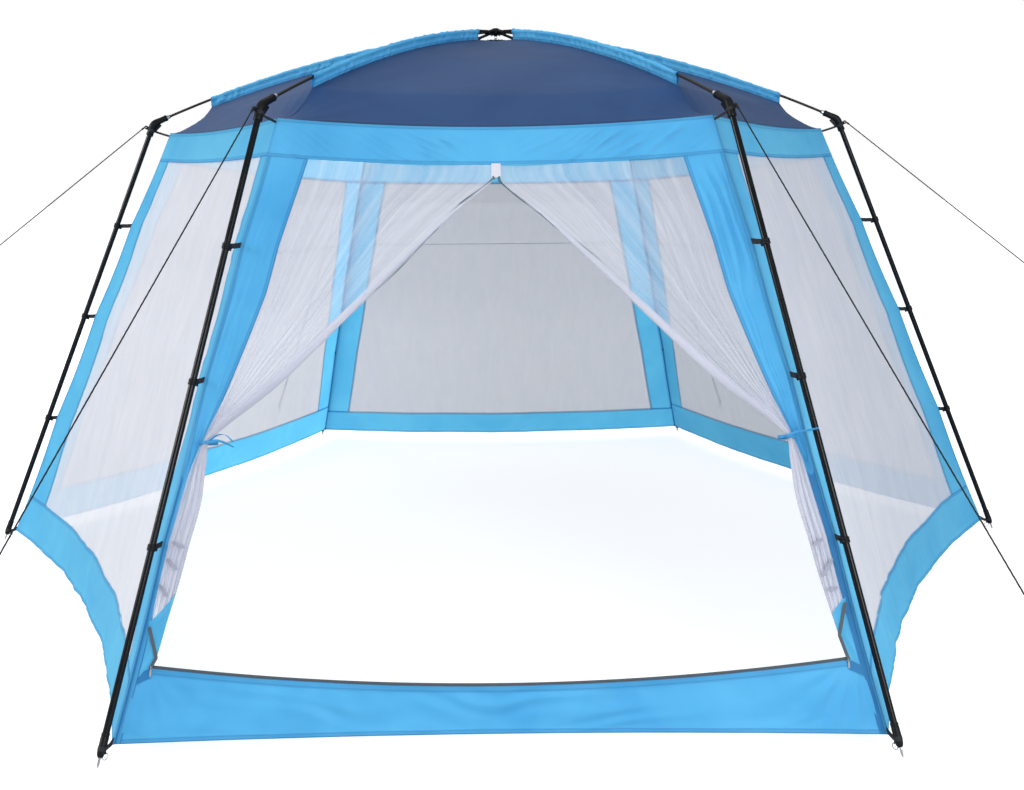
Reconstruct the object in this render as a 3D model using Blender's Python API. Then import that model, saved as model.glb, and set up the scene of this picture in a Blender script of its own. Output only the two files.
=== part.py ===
"""Six-sided pool tent, 5.0 m from corner to corner.

Six splayed steel legs carry plastic elbows. Six sprung fibreglass poles rise from the elbows
to a crown hub. A sewn body hangs inside this frame: a six-gore canopy with pole sleeves, five
mesh walls and a front wall with an open doorway and two tied-back curtains. Six guy lines
run from the elbows to pegs in the ground.

Metres. Z is up, the ground is z = 0 and the doorway faces -Y.
"""

import math

import bmesh
import bpy
from mathutils import Matrix, Vector

# Overall sizes
FOOT_RADIUS = 2.50
ELBOW_RADIUS = 1.60
ELBOW_HEIGHT = 2.03
HUB_HEIGHT = 2.43
POLE_SLOPE = 0.079
POLE_BEND = 0.107

# Corners and walls by the direction they face, in degrees from +X
CORNERS = {
    "right": 0,
    "back_right": 60,
    "back_left": 120,
    "left": 180,
    "front_left": 240,
    "front_right": 300,
}
WALLS = {
    "right_back": 30,
    "back": 90,
    "left_back": 150,
    "left_front": 210,
    "right_front": 330,
}
FRONT = 270
GORES = {
    "right_back": 30,
    "back": 90,
    "left_back": 150,
    "left_front": 210,
    "front": 270,
    "right_front": 330,
}

# Legs
TUBE_RADIUS = 0.011
CLIP_HEIGHTS = [1.56, 1.13, 0.63]
CLIP_RADIUS = 0.0155
CLIP_LENGTH = 0.026
STRAP_THICKNESS = 0.003
STRAP_HEIGHT = 0.024
FOOT_CAP_RADIUS = 0.014
FOOT_CAP_TOP = 0.100
FOOT_CAP_BOTTOM = 0.032
PIN_RADIUS = 0.004

# Elbows and roof poles
ELBOW_THICKNESS = 0.018
ROOF_ARM = 0.070
LEG_ARM = 0.060
SOCKET_DEPTH = 0.042
POLE_RADIUS = 0.0055
POLE_SOCKET_RADIUS = 0.0064
LEG_SOCKET_RADIUS = 0.0120
FERRULE_RADIUS = 0.0085
FERRULE_LENGTH = 0.014

# Crown hub
HUB_RADIUS = 0.022
HUB_ARM_RADIUS = 0.0090
HUB_ARM_REACH = 0.050
HUB_SOCKET_START = 0.020
HUB_HALF_HEIGHT = 0.011
PATCH_RADIUS = 0.040

# Cloth
CLOTH = 0.004
HALF_GAP = 0.00035
EAVE_RADIUS = 1.522
EAVE_HEIGHT = 1.985
EAVE_SAG = 0.018
FRONT_EAVE_SAG = 0.036
HEAD_HEIGHT = 1.857
HEM_HEIGHT = 0.050
SEAM_GAP_LOW = 0.042
SEAM_GAP_TOP = 0.098
SCALLOP = 0.008
WALL_SAG = 0.125
FRONT_SAG = 0.035
SLEEVE_START = 0.160
SLEEVE_END = 1.325
SLEEVE_DROP = 0.036
SLEEVE_WALL = 0.0015
APEX_RADIUS = 0.020
APEX_HEIGHT = 2.388
GORE_SAG = 0.020
CORNER_DIP = 0.034
ACROSS = [-1.0, -0.82, -0.6, -0.3, 0.0, 0.3, 0.6, 0.82, 1.0]
WALL_ROWS = [EAVE_HEIGHT, HEAD_HEIGHT, 1.700, 1.560, 1.345, 1.130, 0.880, 0.630, 0.430, 0.230, 0.050]

# Doorway: height and how far the side band reaches in from the corner seam
SILL_HEIGHT = 0.265
SILL_DROP = 0.075
BAND_WIDTHS = [
    (HEAD_HEIGHT, 0.140), (1.400, 0.125), (1.130, 0.091), (0.930, 0.058), (0.860, 0.042),
    (0.630, 0.034), (0.370, 0.030), (SILL_HEIGHT, 0.058),
]
DOOR_ROWS = [
    EAVE_HEIGHT, HEAD_HEIGHT, 1.700, 1.560, 1.345, 1.130, 0.930, 0.860, 0.630, 0.370, SILL_HEIGHT, HEM_HEIGHT,
]

# Guy lines and pegs
ROPE_RADIUS = 0.002
SIDE_PEG_RADIUS = 4.30
OTHER_PEG_RADIUS = 3.40
PEG_RADIUS = 0.004
PEG_HEIGHT = 0.050

COS_30 = math.cos(math.radians(30))
POLE_STATIONS = [SLEEVE_START + (SLEEVE_END - SLEEVE_START) * step / 7 for step in range(8)]


def material(name, colour, roughness, metallic=0.0):
    made = bpy.data.materials.new(name)
    made.use_nodes = True
    shader = made.node_tree.nodes["Principled BSDF"]
    shader.inputs["Base Color"].default_value = (*colour, 1.0)
    shader.inputs["Roughness"].default_value = roughness
    shader.inputs["Metallic"].default_value = metallic
    return made


COLOURS = {
    "leg": ((0.015, 0.017, 0.022), 0.35, 0.6),
    "elbow": ((0.012, 0.012, 0.013), 0.55, 0.0),
    "roof_pole": ((0.015, 0.015, 0.017), 0.40, 0.0),
    "crown_hub": ((0.012, 0.012, 0.013), 0.55, 0.0),
    "roof_gore": ((0.045, 0.085, 0.220), 0.70, 0.0),
    "pole_sleeve": ((0.070, 0.420, 0.830), 0.70, 0.0),
    "wall": ((0.560, 0.620, 0.740), 0.80, 0.0),
    "front_border": ((0.070, 0.420, 0.830), 0.70, 0.0),
    "door_curtain": ((0.640, 0.640, 0.700), 0.80, 0.0),
    "guy_line": ((0.012, 0.012, 0.014), 0.70, 0.0),
}


def add_object(name, points, faces, kind=None, turn=0.0):
    """Makes an object from the points and faces of a closed body."""
    mesh = bpy.data.meshes.new(name)
    shape = bmesh.new()
    corners = [shape.verts.new(point) for point in points]
    for face in faces:
        shape.faces.new([corners[index] for index in face])
    bmesh.ops.recalc_face_normals(shape, faces=shape.faces)
    shape.to_mesh(mesh)
    shape.free()
    made = bpy.data.objects.new(name, mesh)
    made.rotation_euler.z = math.radians(turn)
    bpy.context.scene.collection.objects.link(made)
    if kind:
        mesh.materials.append(material(kind, *COLOURS[kind]))
    return made


def spread(pattern, kind, places):
    """Copies a finished pattern piece to each place around the tent and removes the pattern."""
    pattern.data.materials.clear()
    pattern.data.materials.append(material(kind, *COLOURS[kind]))
    for face in pattern.data.polygons:
        face.material_index = 0
    for name, angle in places.items():
        copy = bpy.data.objects.new(f"{kind}_{name}", pattern.data)
        copy.rotation_euler.z = math.radians(angle)
        bpy.context.scene.collection.objects.link(copy)
    bpy.data.objects.remove(pattern)


def combine(base, other, operation):
    """Adds other to base or cuts it away, and removes other."""
    change = base.modifiers.new("combine", "BOOLEAN")
    change.operation = operation
    change.solver = "EXACT"
    change.object = other
    graph = bpy.context.evaluated_depsgraph_get()
    result = bpy.data.meshes.new_from_object(base.evaluated_get(graph))
    base.modifiers.clear()
    old = base.data
    base.data = result
    result.name = base.name
    bpy.data.meshes.remove(old)
    bpy.data.objects.remove(other)


def ring(centre, along, radius, sides, up=Vector((0, 1, 0))):
    """Points of a circle about centre, square to the direction along."""
    along = along.normalized()
    first = (up - along * up.dot(along)).normalized()
    second = along.cross(first)
    points = []
    for step in range(sides):
        angle = 2 * math.pi * (step + 0.5) / sides
        points.append(centre + (first * math.cos(angle) + second * math.sin(angle)) * radius)
    return points


def loft(rings):
    """Points and faces of a closed body through rings of equal size."""
    sides = len(rings[0])
    points = [p for one in rings for p in one]
    faces = [list(range(sides))]
    for row in range(len(rings) - 1):
        low = row * sides
        for step in range(sides):
            after = (step + 1) % sides
            faces.append([low + step, low + after, low + sides + after, low + sides + step])
    faces.append(list(range(len(points) - sides, len(points))))
    return points, faces


def rod(path, radii, sides):
    """Rings along a bent path with a radius at each point of it."""
    rings = []
    for index, (centre, radius) in enumerate(zip(path, radii)):
        before = path[max(index - 1, 0)]
        after = path[min(index + 1, len(path) - 1)]
        rings.append(ring(centre, after - before, radius, sides))
    return rings


def box(centre, axes, sizes):
    """Points and faces of a box with the given axes and full sizes."""
    halves = [axis.normalized() * size / 2 for axis, size in zip(axes, sizes)]
    points = []
    for a in (-1, 1):
        for b in (-1, 1):
            for c in (-1, 1):
                points.append(centre + halves[0] * a + halves[1] * b + halves[2] * c)
    faces = [[0, 1, 3, 2], [4, 6, 7, 5], [0, 4, 5, 1], [2, 3, 7, 6], [0, 2, 6, 4], [1, 5, 7, 3]]
    return points, faces


# Lines the tent is laid out on, in the upright plane through a corner: radius and height

def leg_radius(z):
    return FOOT_RADIUS - z * (FOOT_RADIUS - ELBOW_RADIUS) / ELBOW_HEIGHT


def on_leg(z):
    return Vector((leg_radius(z), 0, z))


LEG_DOWN = (on_leg(0.0) - on_leg(ELBOW_HEIGHT)).normalized()


def pole_height(r):
    return HUB_HEIGHT - POLE_SLOPE * r - POLE_BEND * r * r


def on_pole(r):
    return Vector((r, 0, pole_height(r)))


def seam_radius(z):
    """Radius of the corner seam between two walls, which is laced to the leg at its clips."""
    gap = SEAM_GAP_LOW + (SEAM_GAP_TOP - SEAM_GAP_LOW) * (z / EAVE_HEIGHT) ** 3
    held = [EAVE_HEIGHT, *CLIP_HEIGHTS, HEM_HEIGHT]
    slack = 0.0
    for high, low in zip(held, held[1:]):
        if low < z < high:
            slack = SCALLOP * math.sin(math.pi * (z - low) / (high - low))
    return leg_radius(z) - gap - slack


def hip_height(r):
    """Height of the canopy's outer face along the seam under a roof pole."""
    if r < SLEEVE_START:
        part = (r - APEX_RADIUS) / (SLEEVE_START - APEX_RADIUS)
        return APEX_HEIGHT + (pole_height(SLEEVE_START) - SLEEVE_DROP - APEX_HEIGHT) * part
    if r <= SLEEVE_END:
        return pole_height(r) - SLEEVE_DROP
    part = (r - SLEEVE_END) / (EAVE_RADIUS - SLEEVE_END)
    top = pole_height(SLEEVE_END) - SLEEVE_DROP
    return top + (EAVE_HEIGHT - top) * part


def corner_dip(r, u):
    """How far the canopy's corner hangs below a straight line past the end of its pole sleeve."""
    part = max(r - SLEEVE_END, 0.0) / (EAVE_RADIUS - SLEEVE_END)
    return CORNER_DIP * math.sin(math.pi * part) * abs(u) ** 6


# Cloth surfaces, in the plane of a wall: x outward, y across, z up

def wall_point(y, z, sag):
    """A point of a wall's outer face, which hangs inward more toward the hem."""
    half = seam_radius(z) / 2
    fall = (EAVE_HEIGHT - z) / (EAVE_HEIGHT - HEM_HEIGHT)
    hang = sag * max(fall, 0.0) ** 1.2 * (1 - min(abs(y) / half, 1.0) ** 2)
    return Vector((seam_radius(z) * COS_30 - hang, y, z))


def wall_grid(sag, eave_sag):
    rows = []
    for z in WALL_ROWS:
        half = seam_radius(z) / 2
        drop = eave_sag * max(0.0, 1 - (EAVE_HEIGHT - z) / 0.6)
        row = []
        for u in ACROSS:
            low = z - drop * (1 - u * u)
            point = wall_point(u * half, z, sag)
            row.append(Vector((point.x + (z - low) * 0.38, point.y, low)))
        rows.append(row)
    return rows


def gore_grid(eave_sag):
    radii = [APEX_RADIUS, 0.08, *POLE_STATIONS, (SLEEVE_END + EAVE_RADIUS) / 2, EAVE_RADIUS]
    rows = []
    for r in radii:
        part = r / EAVE_RADIUS
        row = []
        for u in ACROSS:
            hang = (GORE_SAG * math.sin(math.pi * part) + eave_sag * part**3) * (1 - u * u)
            row.append(Vector((r * COS_30 + 0.38 * eave_sag * part**6 * (1 - u * u),
                               u * r / 2, hip_height(r) - hang - corner_dip(r, u))))
        rows.append(row)
    return rows


def grid_normals(grid, outward):
    """Unit normals of a grid of points, all on the side that outward points to."""
    last_row, last_column = len(grid) - 1, len(grid[0]) - 1
    normals = []
    for i, row in enumerate(grid):
        line = []
        for j in range(len(row)):
            down = grid[min(i + 1, last_row)][j] - grid[max(i - 1, 0)][j]
            across = row[min(j + 1, last_column)] - row[max(j - 1, 0)]
            normal = down.cross(across).normalized()
            line.append(normal if normal.dot(outward) > 0 else -normal)
        normals.append(line)
    return normals


def solve_offset(planes, depths):
    """The step from a point that reaches three planes at the given depths."""
    matrix = Matrix([list(p) for p in planes])
    return matrix.inverted() @ Vector(depths)


def side_normal(u):
    """Normal of the upright plane through the corner at this end of a wall."""
    return Vector((-0.5, COS_30 * (1 if u > 0 else -1), 0))


def inner_grid(grid, normals, eave_row, eave_normals, thickness=CLOTH):
    """The grid one cloth thickness further in, mitred at the corner seams and at the eave."""
    inner = []
    for i, row in enumerate(grid):
        line = []
        for j, point in enumerate(row):
            normal = normals[i][j]
            at_end = j in (0, len(row) - 1)
            across = (row[min(j + 1, len(row) - 1)] - row[max(j - 1, 0)]).normalized()
            side = side_normal(j - 1) if at_end else across
            if i == eave_row:
                planes = [normal, eave_normals[j], side]
                step = solve_offset(planes, [-thickness, -thickness, 0])
            elif at_end:
                step = (normal - side * normal.dot(side)) / (1 - normal.dot(side) ** 2)
                step *= -thickness
            else:
                step = -normal * thickness
            line.append(point + step)
        inner.append(line)
    return inner


def part_seams(grid, eave_row):
    """Draws the edges of a panel back by half a gap at its corner seams and at the eave."""
    for row in grid:
        row[0] = row[0] - side_normal(-1) * HALF_GAP
        row[-1] = row[-1] - side_normal(1) * HALF_GAP
    beside = grid[1] if eave_row == 0 else grid[-2]
    edge = grid[eave_row]
    for j, point in enumerate(edge):
        edge[j] = point + (beside[j] - point).normalized() * HALF_GAP


def solid_sheet(outer, inner, kept):
    """Points and faces of the cloth between two grids, where kept(row, column) holds."""
    rows, columns = len(outer), len(outer[0])
    used = {}
    points = []

    def vertex(side, i, j):
        key = (side, i, j)
        if key not in used:
            used[key] = len(points)
            points.append((outer if side == 0 else inner)[i][j])
        return used[key]

    def is_cloth(i, j):
        return 0 <= i < rows - 1 and 0 <= j < columns - 1 and kept(i, j)

    faces = []
    for i in range(rows - 1):
        for j in range(columns - 1):
            if not is_cloth(i, j):
                continue
            loop = [(i, j), (i, j + 1), (i + 1, j + 1), (i + 1, j)]
            faces.append([vertex(0, *key) for key in loop])
            faces.append([vertex(1, *key) for key in reversed(loop)])
            beyond = [(i - 1, j), (i, j + 1), (i + 1, j), (i, j - 1)]
            for step in range(4):
                if not is_cloth(*beyond[step]):
                    a, b = loop[step], loop[(step + 1) % 4]
                    faces.append([vertex(0, *b), vertex(0, *a), vertex(1, *a), vertex(1, *b)])
    return points, faces


def whole(row, column):
    return True


OUT_AND_UP = Vector((1, 0, 1))
GORE = gore_grid(EAVE_SAG)
WALL = wall_grid(WALL_SAG, EAVE_SAG)
GORE_NORMALS = grid_normals(GORE, OUT_AND_UP)
WALL_NORMALS = grid_normals(WALL, OUT_AND_UP)
FRONT_GORE = gore_grid(FRONT_EAVE_SAG)
FRONT_GORE_NORMALS = grid_normals(FRONT_GORE, OUT_AND_UP)
FRONT_EAVE_NORMALS = grid_normals(wall_grid(WALL_SAG, FRONT_EAVE_SAG), OUT_AND_UP)[0]


def band_width(z):
    """How far the doorway's side band reaches in from the corner seam at this height."""
    if z >= BAND_WIDTHS[0][0]:
        return BAND_WIDTHS[0][1]
    for (high, wide), (low, narrow) in zip(BAND_WIDTHS, BAND_WIDTHS[1:]):
        if z >= low:
            part = (high - z) / (high - low)
            return wide + (narrow - wide) * part
    return BAND_WIDTHS[-1][1]


def door_edge(z):
    """Half the width of the doorway at this height."""
    return seam_radius(z) / 2 - band_width(z)


def front_grid():
    """The front wall: eave, doorway head, side bands, sill and hem."""
    rows = []
    for z in DOOR_ROWS:
        half = seam_radius(z) / 2
        edge = door_edge(z) / half
        drop = {EAVE_HEIGHT: FRONT_EAVE_SAG, HEAD_HEIGHT: FRONT_EAVE_SAG, SILL_HEIGHT: SILL_DROP}.get(z, 0.0)
        row = []
        for u in ACROSS:
            across = u if abs(u) > 0.9 else u * edge / 0.82
            if z == EAVE_HEIGHT:
                across = u
            shape = 1 - across * across if z > 1.0 else 1 - min(abs(across) / edge, 1.0) ** 2
            low = z - drop * shape
            point = wall_point(across * half, low, FRONT_SAG)
            if z > 1.0:
                point = wall_point(across * half, z, FRONT_SAG)
                point.x += (z - low) * 0.38
                point.z = low
            else:
                point.y = across * half
            row.append(point)
        rows.append(row)
    return rows


def make_gores():
    sides = {name: angle for name, angle in GORES.items() if angle != FRONT}
    for surface, normals, eave_normals, places in (
        (GORE, GORE_NORMALS, WALL_NORMALS[0], sides),
        (FRONT_GORE, FRONT_GORE_NORMALS, FRONT_EAVE_NORMALS, {"front": FRONT}),
    ):
        grid = [[p.copy() for p in row] for row in surface]
        part_seams(grid, len(grid) - 1)
        inner = inner_grid(grid, normals, len(grid) - 1, eave_normals)
        points, faces = solid_sheet(grid, inner, whole)
        spread(add_object("pattern", points, faces), "roof_gore", places)


def make_walls():
    grid = [[p.copy() for p in row] for row in WALL]
    part_seams(grid, 0)
    inner = inner_grid(grid, WALL_NORMALS, 0, GORE_NORMALS[-1])
    points, faces = solid_sheet(grid, inner, whole)
    spread(add_object("pattern", points, faces), "wall", WALLS)


def make_front_border():
    grid = front_grid()
    normals = [FRONT_EAVE_NORMALS, *grid_normals(grid, OUT_AND_UP)[1:]]
    part_seams(grid, 0)
    inner = inner_grid(grid, normals, 0, FRONT_GORE_NORMALS[-1])
    head = DOOR_ROWS.index(HEAD_HEIGHT)
    sill = DOOR_ROWS.index(SILL_HEIGHT)
    last = len(ACROSS) - 2

    def border(row, column):
        beside = column in (0, last)
        return beside or row < head or row >= sill

    points, faces = solid_sheet(grid, inner, border)
    add_object("front_border", points, faces, "front_border", FRONT)


def band_corner(z):
    """Inner edge of the doorway's side band at one of its rows, which at the head hangs with the valance."""
    point = wall_point(door_edge(z), z, FRONT_SAG)
    if z == HEAD_HEIGHT:
        drop = FRONT_EAVE_SAG * (1 - (door_edge(z) / (seam_radius(z) / 2)) ** 2)
        point += Vector((0.38 * drop, 0, -drop))
    return point


BAND_CORNERS = [band_corner(z) for z in DOOR_ROWS[1:]]


def band_edge(z):
    """Inner edge of the doorway's side band, which runs straight from one row to the next."""
    for top, bottom in zip(BAND_CORNERS, BAND_CORNERS[1:]):
        if bottom.z <= z <= top.z:
            return bottom.lerp(top, (z - bottom.z) / (top.z - bottom.z))
    return BAND_CORNERS[0]


def make_curtain(name, hand):
    """One sheer curtain: hung from the doorway head, drawn aside to its tie, with a tail below.

    A row gives its height at the band, its gap there, the place and height of its free edge, how
    far its face stands out at the free edge, and its thickness.
    """
    head = HEAD_HEIGHT - 0.0015
    rows = [
        (head, 0.0006, 0.012, head - FRONT_EAVE_SAG, 0.000, 0.004),
        (1.790, 0.0020, 0.012, 1.774, 0.002, 0.004),
        (1.700, 0.0006, 0.160, 1.655, 0.004, 0.006),
        (1.560, 0.0006, 0.290, 1.530, 0.006, 0.007),
        (1.345, 0.0006, 0.490, 1.335, 0.010, 0.010),
        (1.130, 0.0006, 0.720, 1.120, 0.012, 0.014),
        (1.000, 0.0006, 0.880, 0.985, 0.016, 0.016),
        (0.930, 0.0006, 0.918, 0.930, 0.020, 0.017),
        (0.860, 0.0006, 0.938, 0.860, 0.016, 0.014),
        (0.630, 0.0006, 1.000, 0.630, 0.010, 0.010),
        (0.370, 0.0030, 1.076, 0.360, 0.007, 0.009),
        (0.310, 0.0030, 1.094, 0.308, 0.006, 0.008),
    ]
    outer, inner = [], []
    normal = Vector((0.93, 0, 0.36))
    for band_z, gap, free_y, free_z, out_free, thickness in rows:
        start = Vector((band_edge(band_z).y - gap, band_z))
        end = Vector((free_y, free_z))
        front, back = [], []
        for step in range(7):
            part = step / 6
            y, z = start.lerp(end, part)
            if band_z == head:
                z = head - 0.0006 - FRONT_EAVE_SAG * (1 - (y / (seam_radius(head) / 2)) ** 2)
            edge = band_edge(z)
            surface = wall_point(y, z, FRONT_SAG)
            surface.x += edge.x - wall_point(edge.y, z, FRONT_SAG).x
            raised = surface + normal * (out_free * part)
            low = raised - normal * thickness
            front.append(Vector((raised.x, raised.y * hand, raised.z)))
            back.append(Vector((low.x, low.y * hand, low.z)))
        outer.append(front)
        inner.append(back)
    add_object(f"door_curtain_{name}", *solid_sheet(outer, inner, whole), "door_curtain", FRONT)


def sleeve_section(r):
    """Outer and inner outline of a pole sleeve in the upright plane across it."""
    slope = math.atan(POLE_SLOPE + 2 * POLE_BEND * r)
    stretch = 1 / math.cos(slope)
    centre = on_pole(r)
    hole = POLE_RADIUS + 0.0010
    skin = hole + SLEEVE_WALL
    outline = []
    for degrees in (-50, -10, 40, 90, 140, 190, 230):
        angle = math.radians(degrees)
        outline.append(centre + Vector((0, skin * math.cos(angle), skin * math.sin(angle) * stretch)))
    low = hip_height(r) + 2 * HALF_GAP
    outline.append(Vector((r, -0.002, pole_height(r) - 0.014)))
    outline.append(Vector((r, -0.002, low)))
    outline.append(Vector((r, 0.002, low)))
    outline.append(Vector((r, 0.002, pole_height(r) - 0.014)))
    bore = []
    for degrees in range(0, 360, 45):
        angle = math.radians(degrees)
        bore.append(centre + Vector((0, hole * math.cos(angle), hole * math.sin(angle) * stretch)))
    return outline, bore


def make_sleeves():
    sections = [sleeve_section(r) for r in POLE_STATIONS]
    sleeve = add_object("pattern", *loft([outline for outline, bore in sections]))
    bores = [bore for outline, bore in sections]
    for end, r, step in ((0, SLEEVE_START, -0.01), (-1, SLEEVE_END, 0.01)):
        fall = POLE_SLOPE + 2 * POLE_BEND * r
        beyond = [point + Vector((step, 0, -fall * step)) for point in bores[end]]
        bores.insert(0 if end == 0 else len(bores), beyond)
    combine(sleeve, add_object("hollow", *loft(bores)), "DIFFERENCE")
    spread(sleeve, "pole_sleeve", CORNERS)


ROOF_ARM_END = ELBOW_RADIUS - ROOF_ARM * math.cos(math.radians(22.4))
ROOF_ARM_WAY = (on_pole(ROOF_ARM_END) - on_pole(ELBOW_RADIUS)).normalized()
POLE_TIP = on_pole(ELBOW_RADIUS) + ROOF_ARM_WAY * (ROOF_ARM - SOCKET_DEPTH + 0.0004)
POLE_AT_ARM = on_pole(ELBOW_RADIUS) + ROOF_ARM_WAY * (ROOF_ARM + 0.0004)
HUB_WAY = (on_pole(HUB_ARM_REACH) - on_pole(0.0)).normalized()


def make_roof_poles():
    start = on_pole(0.0) + HUB_WAY * (HUB_SOCKET_START + 0.0004)
    mouth = on_pole(0.0) + HUB_WAY * (HUB_ARM_REACH + 0.004)
    path = [start, mouth]
    radii = [POLE_RADIUS, POLE_RADIUS]
    for r in POLE_STATIONS:
        path.append(on_pole(r))
        radii.append(POLE_RADIUS)
    ferrule_low = POLE_AT_ARM + ROOF_ARM_WAY * FERRULE_LENGTH
    for point, radius in (
        (ferrule_low + ROOF_ARM_WAY * 0.0005, POLE_RADIUS),
        (ferrule_low, FERRULE_RADIUS),
        (POLE_AT_ARM, FERRULE_RADIUS),
        (POLE_AT_ARM - ROOF_ARM_WAY * 0.0005, POLE_RADIUS),
        (POLE_TIP, POLE_RADIUS),
    ):
        path.append(point)
        radii.append(radius)
    spread(add_object("pattern", *loft(rod(path, radii, 8))), "roof_pole", CORNERS)


LUG_WAY = Vector((-LEG_DOWN.z, 0, LEG_DOWN.x))
LUG_REACH = 0.018
LUG_CENTRE = on_pole(ELBOW_RADIUS) + LEG_DOWN * 0.030 + LUG_WAY * 0.0255


def make_elbows():
    corner = on_pole(ELBOW_RADIUS)
    path = [
        corner + ROOF_ARM_WAY * ROOF_ARM,
        corner + ROOF_ARM_WAY * (ROOF_ARM - 0.004),
        corner + ROOF_ARM_WAY * 0.018,
        corner + (ROOF_ARM_WAY + LEG_DOWN) * 0.004,
        corner + LEG_DOWN * 0.016,
        corner + LEG_DOWN * (LEG_ARM - 0.004),
        corner + LEG_DOWN * LEG_ARM,
    ]
    radii = [0.010, 0.012, 0.017, ELBOW_THICKNESS, ELBOW_THICKNESS, 0.0165, 0.015]
    strap_top = EAVE_HEIGHT - 0.004
    strap_low = EAVE_HEIGHT - 0.024
    seam_top = Vector((seam_radius(strap_top) + 0.0008, 0, strap_top))
    seam_low = Vector((seam_radius(strap_low) + 0.0008, 0, strap_low))
    reach = corner + LEG_DOWN * 0.030
    strap = []
    for y in (-STRAP_THICKNESS / 2, STRAP_THICKNESS / 2):
        strap.append(seam_top + Vector((0, y, 0)))
        strap.append(seam_low + Vector((0, y, 0)))
        strap.append(reach + LEG_DOWN * 0.012 + Vector((0, y, 0)))
        strap.append(reach - LEG_DOWN * 0.012 + Vector((0, y, 0)))
    strap_faces = [[0, 1, 2, 3], [4, 7, 6, 5], [0, 4, 5, 1], [1, 5, 6, 2], [2, 6, 7, 3], [3, 7, 4, 0]]
    pole_bore = rod([corner + ROOF_ARM_WAY * (ROOF_ARM - SOCKET_DEPTH),
                     corner + ROOF_ARM_WAY * (ROOF_ARM + 0.01)], [POLE_SOCKET_RADIUS] * 2, 10)
    leg_bore = rod([corner + LEG_DOWN * (LEG_ARM - SOCKET_DEPTH),
                    corner + LEG_DOWN * (LEG_ARM + 0.01)], [LEG_SOCKET_RADIUS] * 2, 12)
    lug = box(LUG_CENTRE, [LEG_DOWN, Vector((0, 1, 0)), LUG_WAY], [0.014, 0.006, LUG_REACH])
    elbow = add_object("pattern", *loft(rod(path, radii, 12)))
    combine(elbow, add_object("strap", strap, strap_faces), "UNION")
    combine(elbow, add_object("lug", *lug), "UNION")
    combine(elbow, add_object("pole_socket", *loft(pole_bore)), "DIFFERENCE")
    combine(elbow, add_object("leg_socket", *loft(leg_bore)), "DIFFERENCE")
    spread(elbow, "elbow", CORNERS)


def clip_strap(z):
    """Webbing from a clip on the leg in to the corner seam of the walls."""
    half = STRAP_HEIGHT / 2 * -LEG_DOWN.z
    points = []
    for y in (-STRAP_THICKNESS / 2, STRAP_THICKNESS / 2):
        for height in (z + half, z - half):
            points.append(Vector((seam_radius(height) + 0.0006, y, height)))
        for height in (z - half, z + half):
            points.append(Vector((leg_radius(height), y, height)))
    faces = [[0, 1, 2, 3], [4, 7, 6, 5], [0, 4, 5, 1], [1, 5, 6, 2], [2, 6, 7, 3], [3, 7, 4, 0]]
    return points, faces


def make_legs():
    top = on_pole(ELBOW_RADIUS) + LEG_DOWN * (LEG_ARM - SOCKET_DEPTH + 0.0004)
    path = [top]
    radii = [TUBE_RADIUS]
    for z in CLIP_HEIGHTS:
        collar = [(-0.5, TUBE_RADIUS), (-0.46, CLIP_RADIUS), (0.46, CLIP_RADIUS), (0.5, TUBE_RADIUS)]
        for step, radius in collar:
            path.append(on_leg(z) + LEG_DOWN * (CLIP_LENGTH * step))
            radii.append(radius)
    for z, radius in (
        (FOOT_CAP_TOP, TUBE_RADIUS),
        (FOOT_CAP_TOP - 0.002, FOOT_CAP_RADIUS),
        (FOOT_CAP_BOTTOM + 0.006, FOOT_CAP_RADIUS),
        (FOOT_CAP_BOTTOM, 0.009),
        (FOOT_CAP_BOTTOM - 0.0005, PIN_RADIUS),
    ):
        path.append(on_leg(z))
        radii.append(radius)
    rings = []
    for centre, radius in zip(path, radii):
        rings.append(ring(centre, LEG_DOWN, radius, 10))
    tip = ring(on_leg(0.0), LEG_DOWN, PIN_RADIUS, 10)
    rings.append([p - LEG_DOWN * (p.z / LEG_DOWN.z) for p in tip])
    leg = add_object("pattern", *loft(rings))
    for z in CLIP_HEIGHTS:
        combine(leg, add_object("strap", *clip_strap(z)), "UNION")
    combine(leg, add_object("strap", *foot_strap()), "UNION")
    spread(leg, "leg", CORNERS)


def foot_strap():
    """Webbing from the foot up to the bottom corner of the walls."""
    corner = Vector((seam_radius(HEM_HEIGHT), 0, HEM_HEIGHT))
    high = corner + Vector((0.0008, 0, 0.028))
    low = corner + Vector((0.0006, 0, 0.002))
    points = []
    for y in (-STRAP_THICKNESS / 2, STRAP_THICKNESS / 2):
        points.append(high + Vector((0, y, 0)))
        points.append(low + Vector((0, y, 0)))
        points.append(on_leg(0.042) + Vector((0, y, 0)))
        points.append(on_leg(0.070) + Vector((0, y, 0)))
    faces = [[0, 1, 2, 3], [4, 7, 6, 5], [0, 4, 5, 1], [1, 5, 6, 2], [2, 6, 7, 3], [3, 7, 4, 0]]
    return points, faces


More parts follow.
